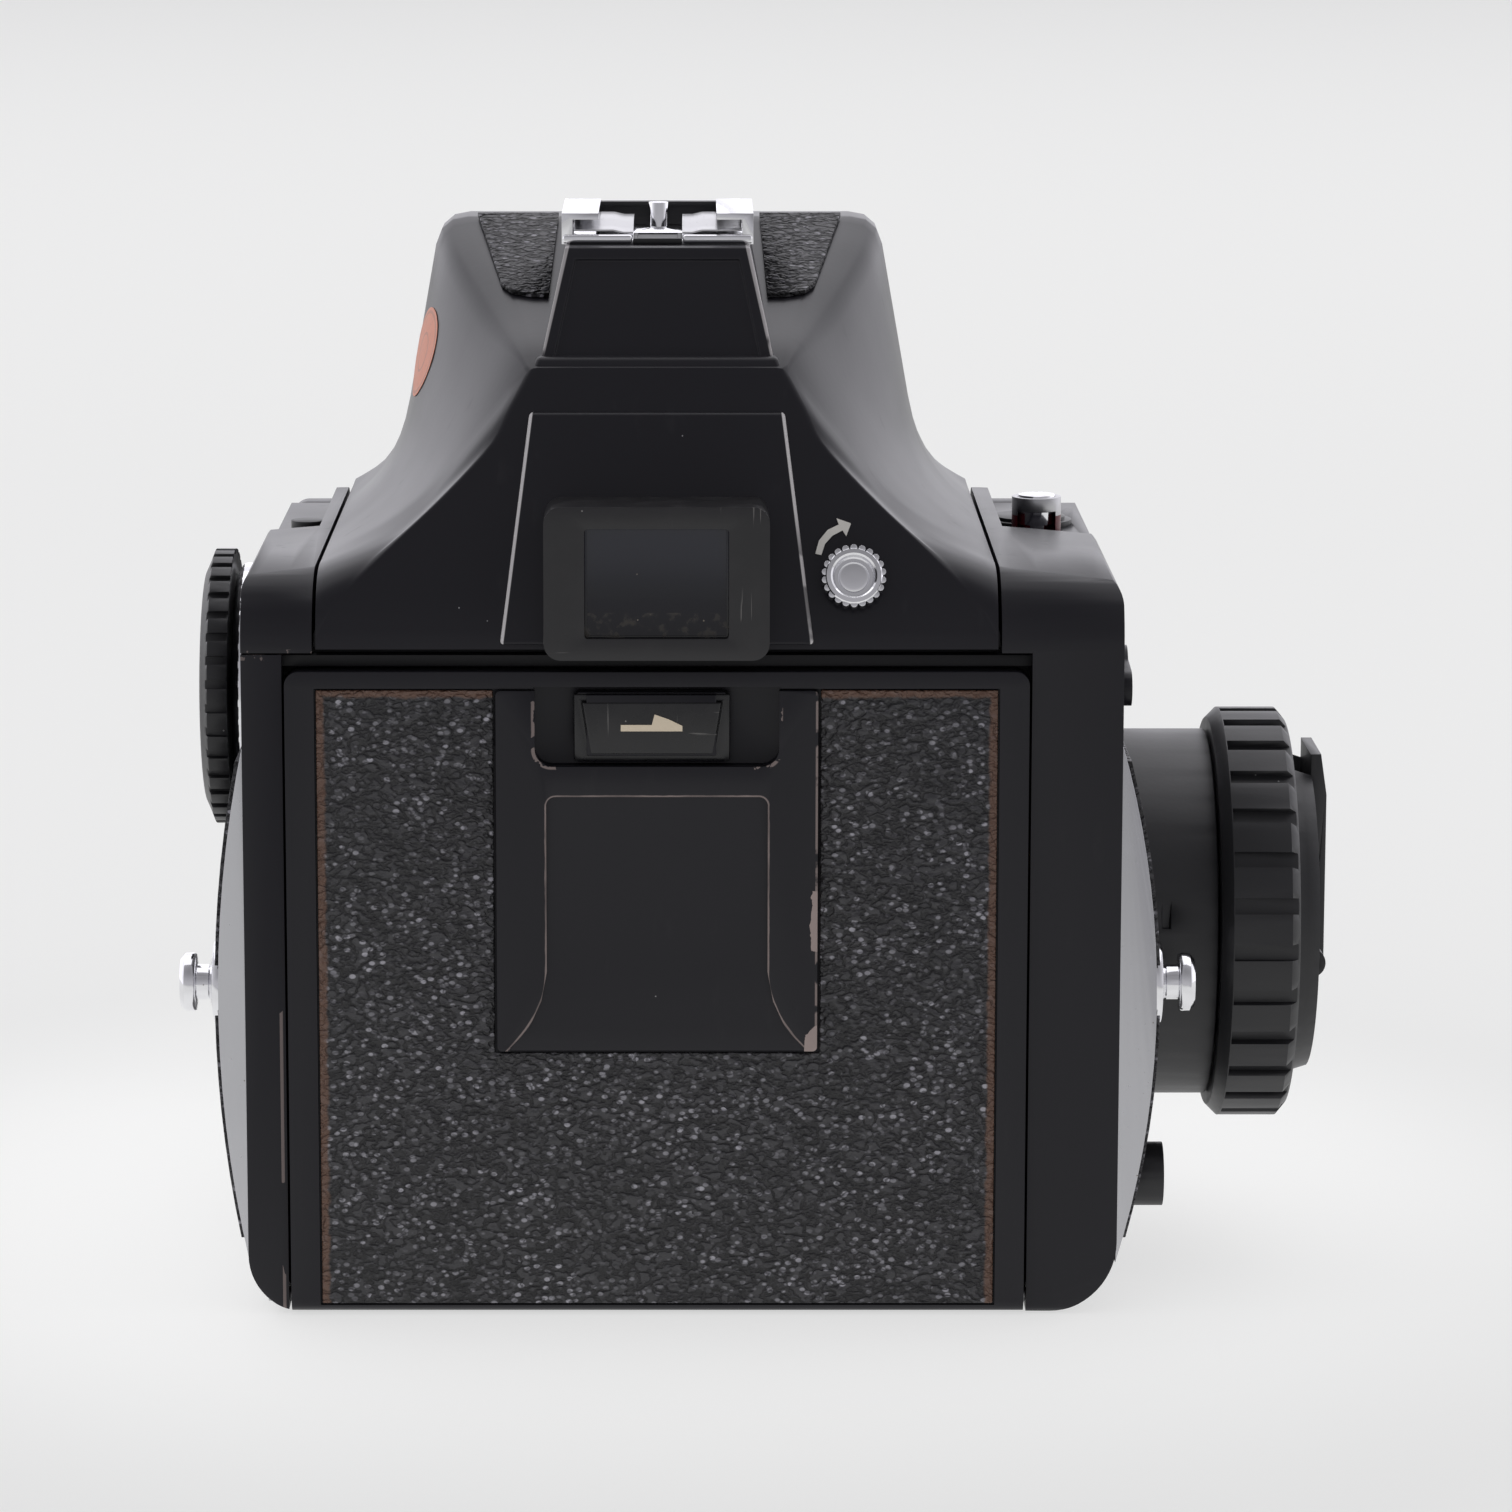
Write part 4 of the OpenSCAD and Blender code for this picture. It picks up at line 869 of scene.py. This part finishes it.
# ---------- lens elements ----------
DOME = 62.4       # radius of the front element's outer face
EDGE = 24         # radius of its rim
CENTRE = 30.4     # where the centre of that face's sphere is along the axis
STEPS = 16
dome = [EDGE * (1 - i / STEPS) for i in range(STEPS + 1)]
front_element = turned("lens_front_element", (0, 0, 38), (0, 1, 0),
                       [(0, 86.5), (EDGE, 86.5)] + [(r, CENTRE + math.sqrt(DOME ** 2 - r ** 2)) for r in dome])
rear_element = turned("lens_rear_element", (0, 0, 38), (0, 1, 0),
                      [(0, 62), (20, 62), (20, 65), (12, 64.4), (0, 64.2)])
elements = join(front_element, rear_element)
hold(elements)
bpy.ops.object.shade_smooth_by_angle(angle=math.radians(30))
fit(elements, "optics", "glass", glass, "lens_glass")


# ---------- stage, light and camera ----------
def stage_set():
    deselect()
    bpy.ops.mesh.primitive_plane_add(size=8, location=(0, 1.2, 0))
    floor = settle(added("floor"))
    paper = Finish("paper")
    reach = (paper.x * paper.x + paper.y * paper.y) ** 0.5
    glow = paper.mix(paper.between(paper.y, -0.6, -0.1), (DIM, DIM, DIM), (GLOW, GLOW, GLOW))
    glow = paper.mix(paper.between(paper.y, 0.1, 0.7), glow, (FAR, FAR, FAR))
    glow = paper.mix(paper.between(reach, 0.14, 0.05), glow, (UNDER, UNDER, UNDER))
    floor.data.materials.append(paper.shade(Base_Color=(0.425, 0.43, 0.41), Roughness=0.9, Emission_Color=glow,
                                            Emission_Strength=1.0))


def lamp(name, place, aim, size, power, colour=(1, 1, 1)):
    deselect()
    bpy.ops.object.light_add(type="AREA", location=place)
    light = bpy.context.object
    light.name = name
    light.data.shape = "RECTANGLE"
    light.data.size, light.data.size_y = size
    light.data.energy = power
    light.data.color = colour
    light.rotation_euler = (Vector(aim) - Vector(place)).to_track_quat("-Z", "Y").to_euler()
    return light


# light painted into the paper floor, which glows: under the camera, where it fills the camera's shadow, round it, far
# behind it, and on the near side
UNDER, GLOW, FAR, DIM = 0.62, 0.4, 0.37, 0.2
stage_set()
lamp("overhead", (0, 1.1, 1.7), (0, 1.1, 0), (3.2, 2.6), 22, (0.98, 0.97, 1))

# a white studio all round, dim on the camera's side
world = bpy.data.worlds.new("studio")
bpy.context.scene.world = world
world.use_nodes = True
nodes, links = world.node_tree.nodes, world.node_tree.links
where = nodes.new("ShaderNodeTexCoord")
parts = nodes.new("ShaderNodeSeparateXYZ")
links.new(where.outputs["Generated"], parts.inputs[0])


def ramp(axis, inputs, settings):
    """A map range node on one axis of the direction."""
    made = nodes.new("ShaderNodeMapRange")
    for key, value in settings.items():
        setattr(made, key, value)
    for name, value in zip(("From Min", "From Max", "To Min", "To Max"), inputs):
        made.inputs[name].default_value = value
    links.new(parts.outputs[axis], made.inputs["Value"])
    return made


fade = ramp(1, (-0.75, 0.45, 0.5, 1.5), {"interpolation_type": "SMOOTHSTEP"})
zenith = ramp(2, (0.1, 1.0, 1.0, 0.35), {})
both_ways = nodes.new("ShaderNodeMath")
both_ways.operation = "MULTIPLY"
links.new(fade.outputs[0], both_ways.inputs[0])
links.new(zenith.outputs[0], both_ways.inputs[1])
links.new(both_ways.outputs[0], nodes["Background"].inputs["Strength"])
nodes["Background"].inputs["Color"].default_value = (0.955, 0.945, 1, 1)

deselect()
bpy.ops.object.camera_add(location=(0.00357, -0.66385, 0.17509), rotation=(math.radians(79.7), 0, 0))
camera = bpy.context.object
camera.data.lens = 138.9
camera.data.sensor_width = 36
camera.data.shift_x = 0.04365
camera.data.clip_start = 0.01
bpy.context.scene.camera = camera
bpy.context.scene.view_settings.view_transform = "Standard"
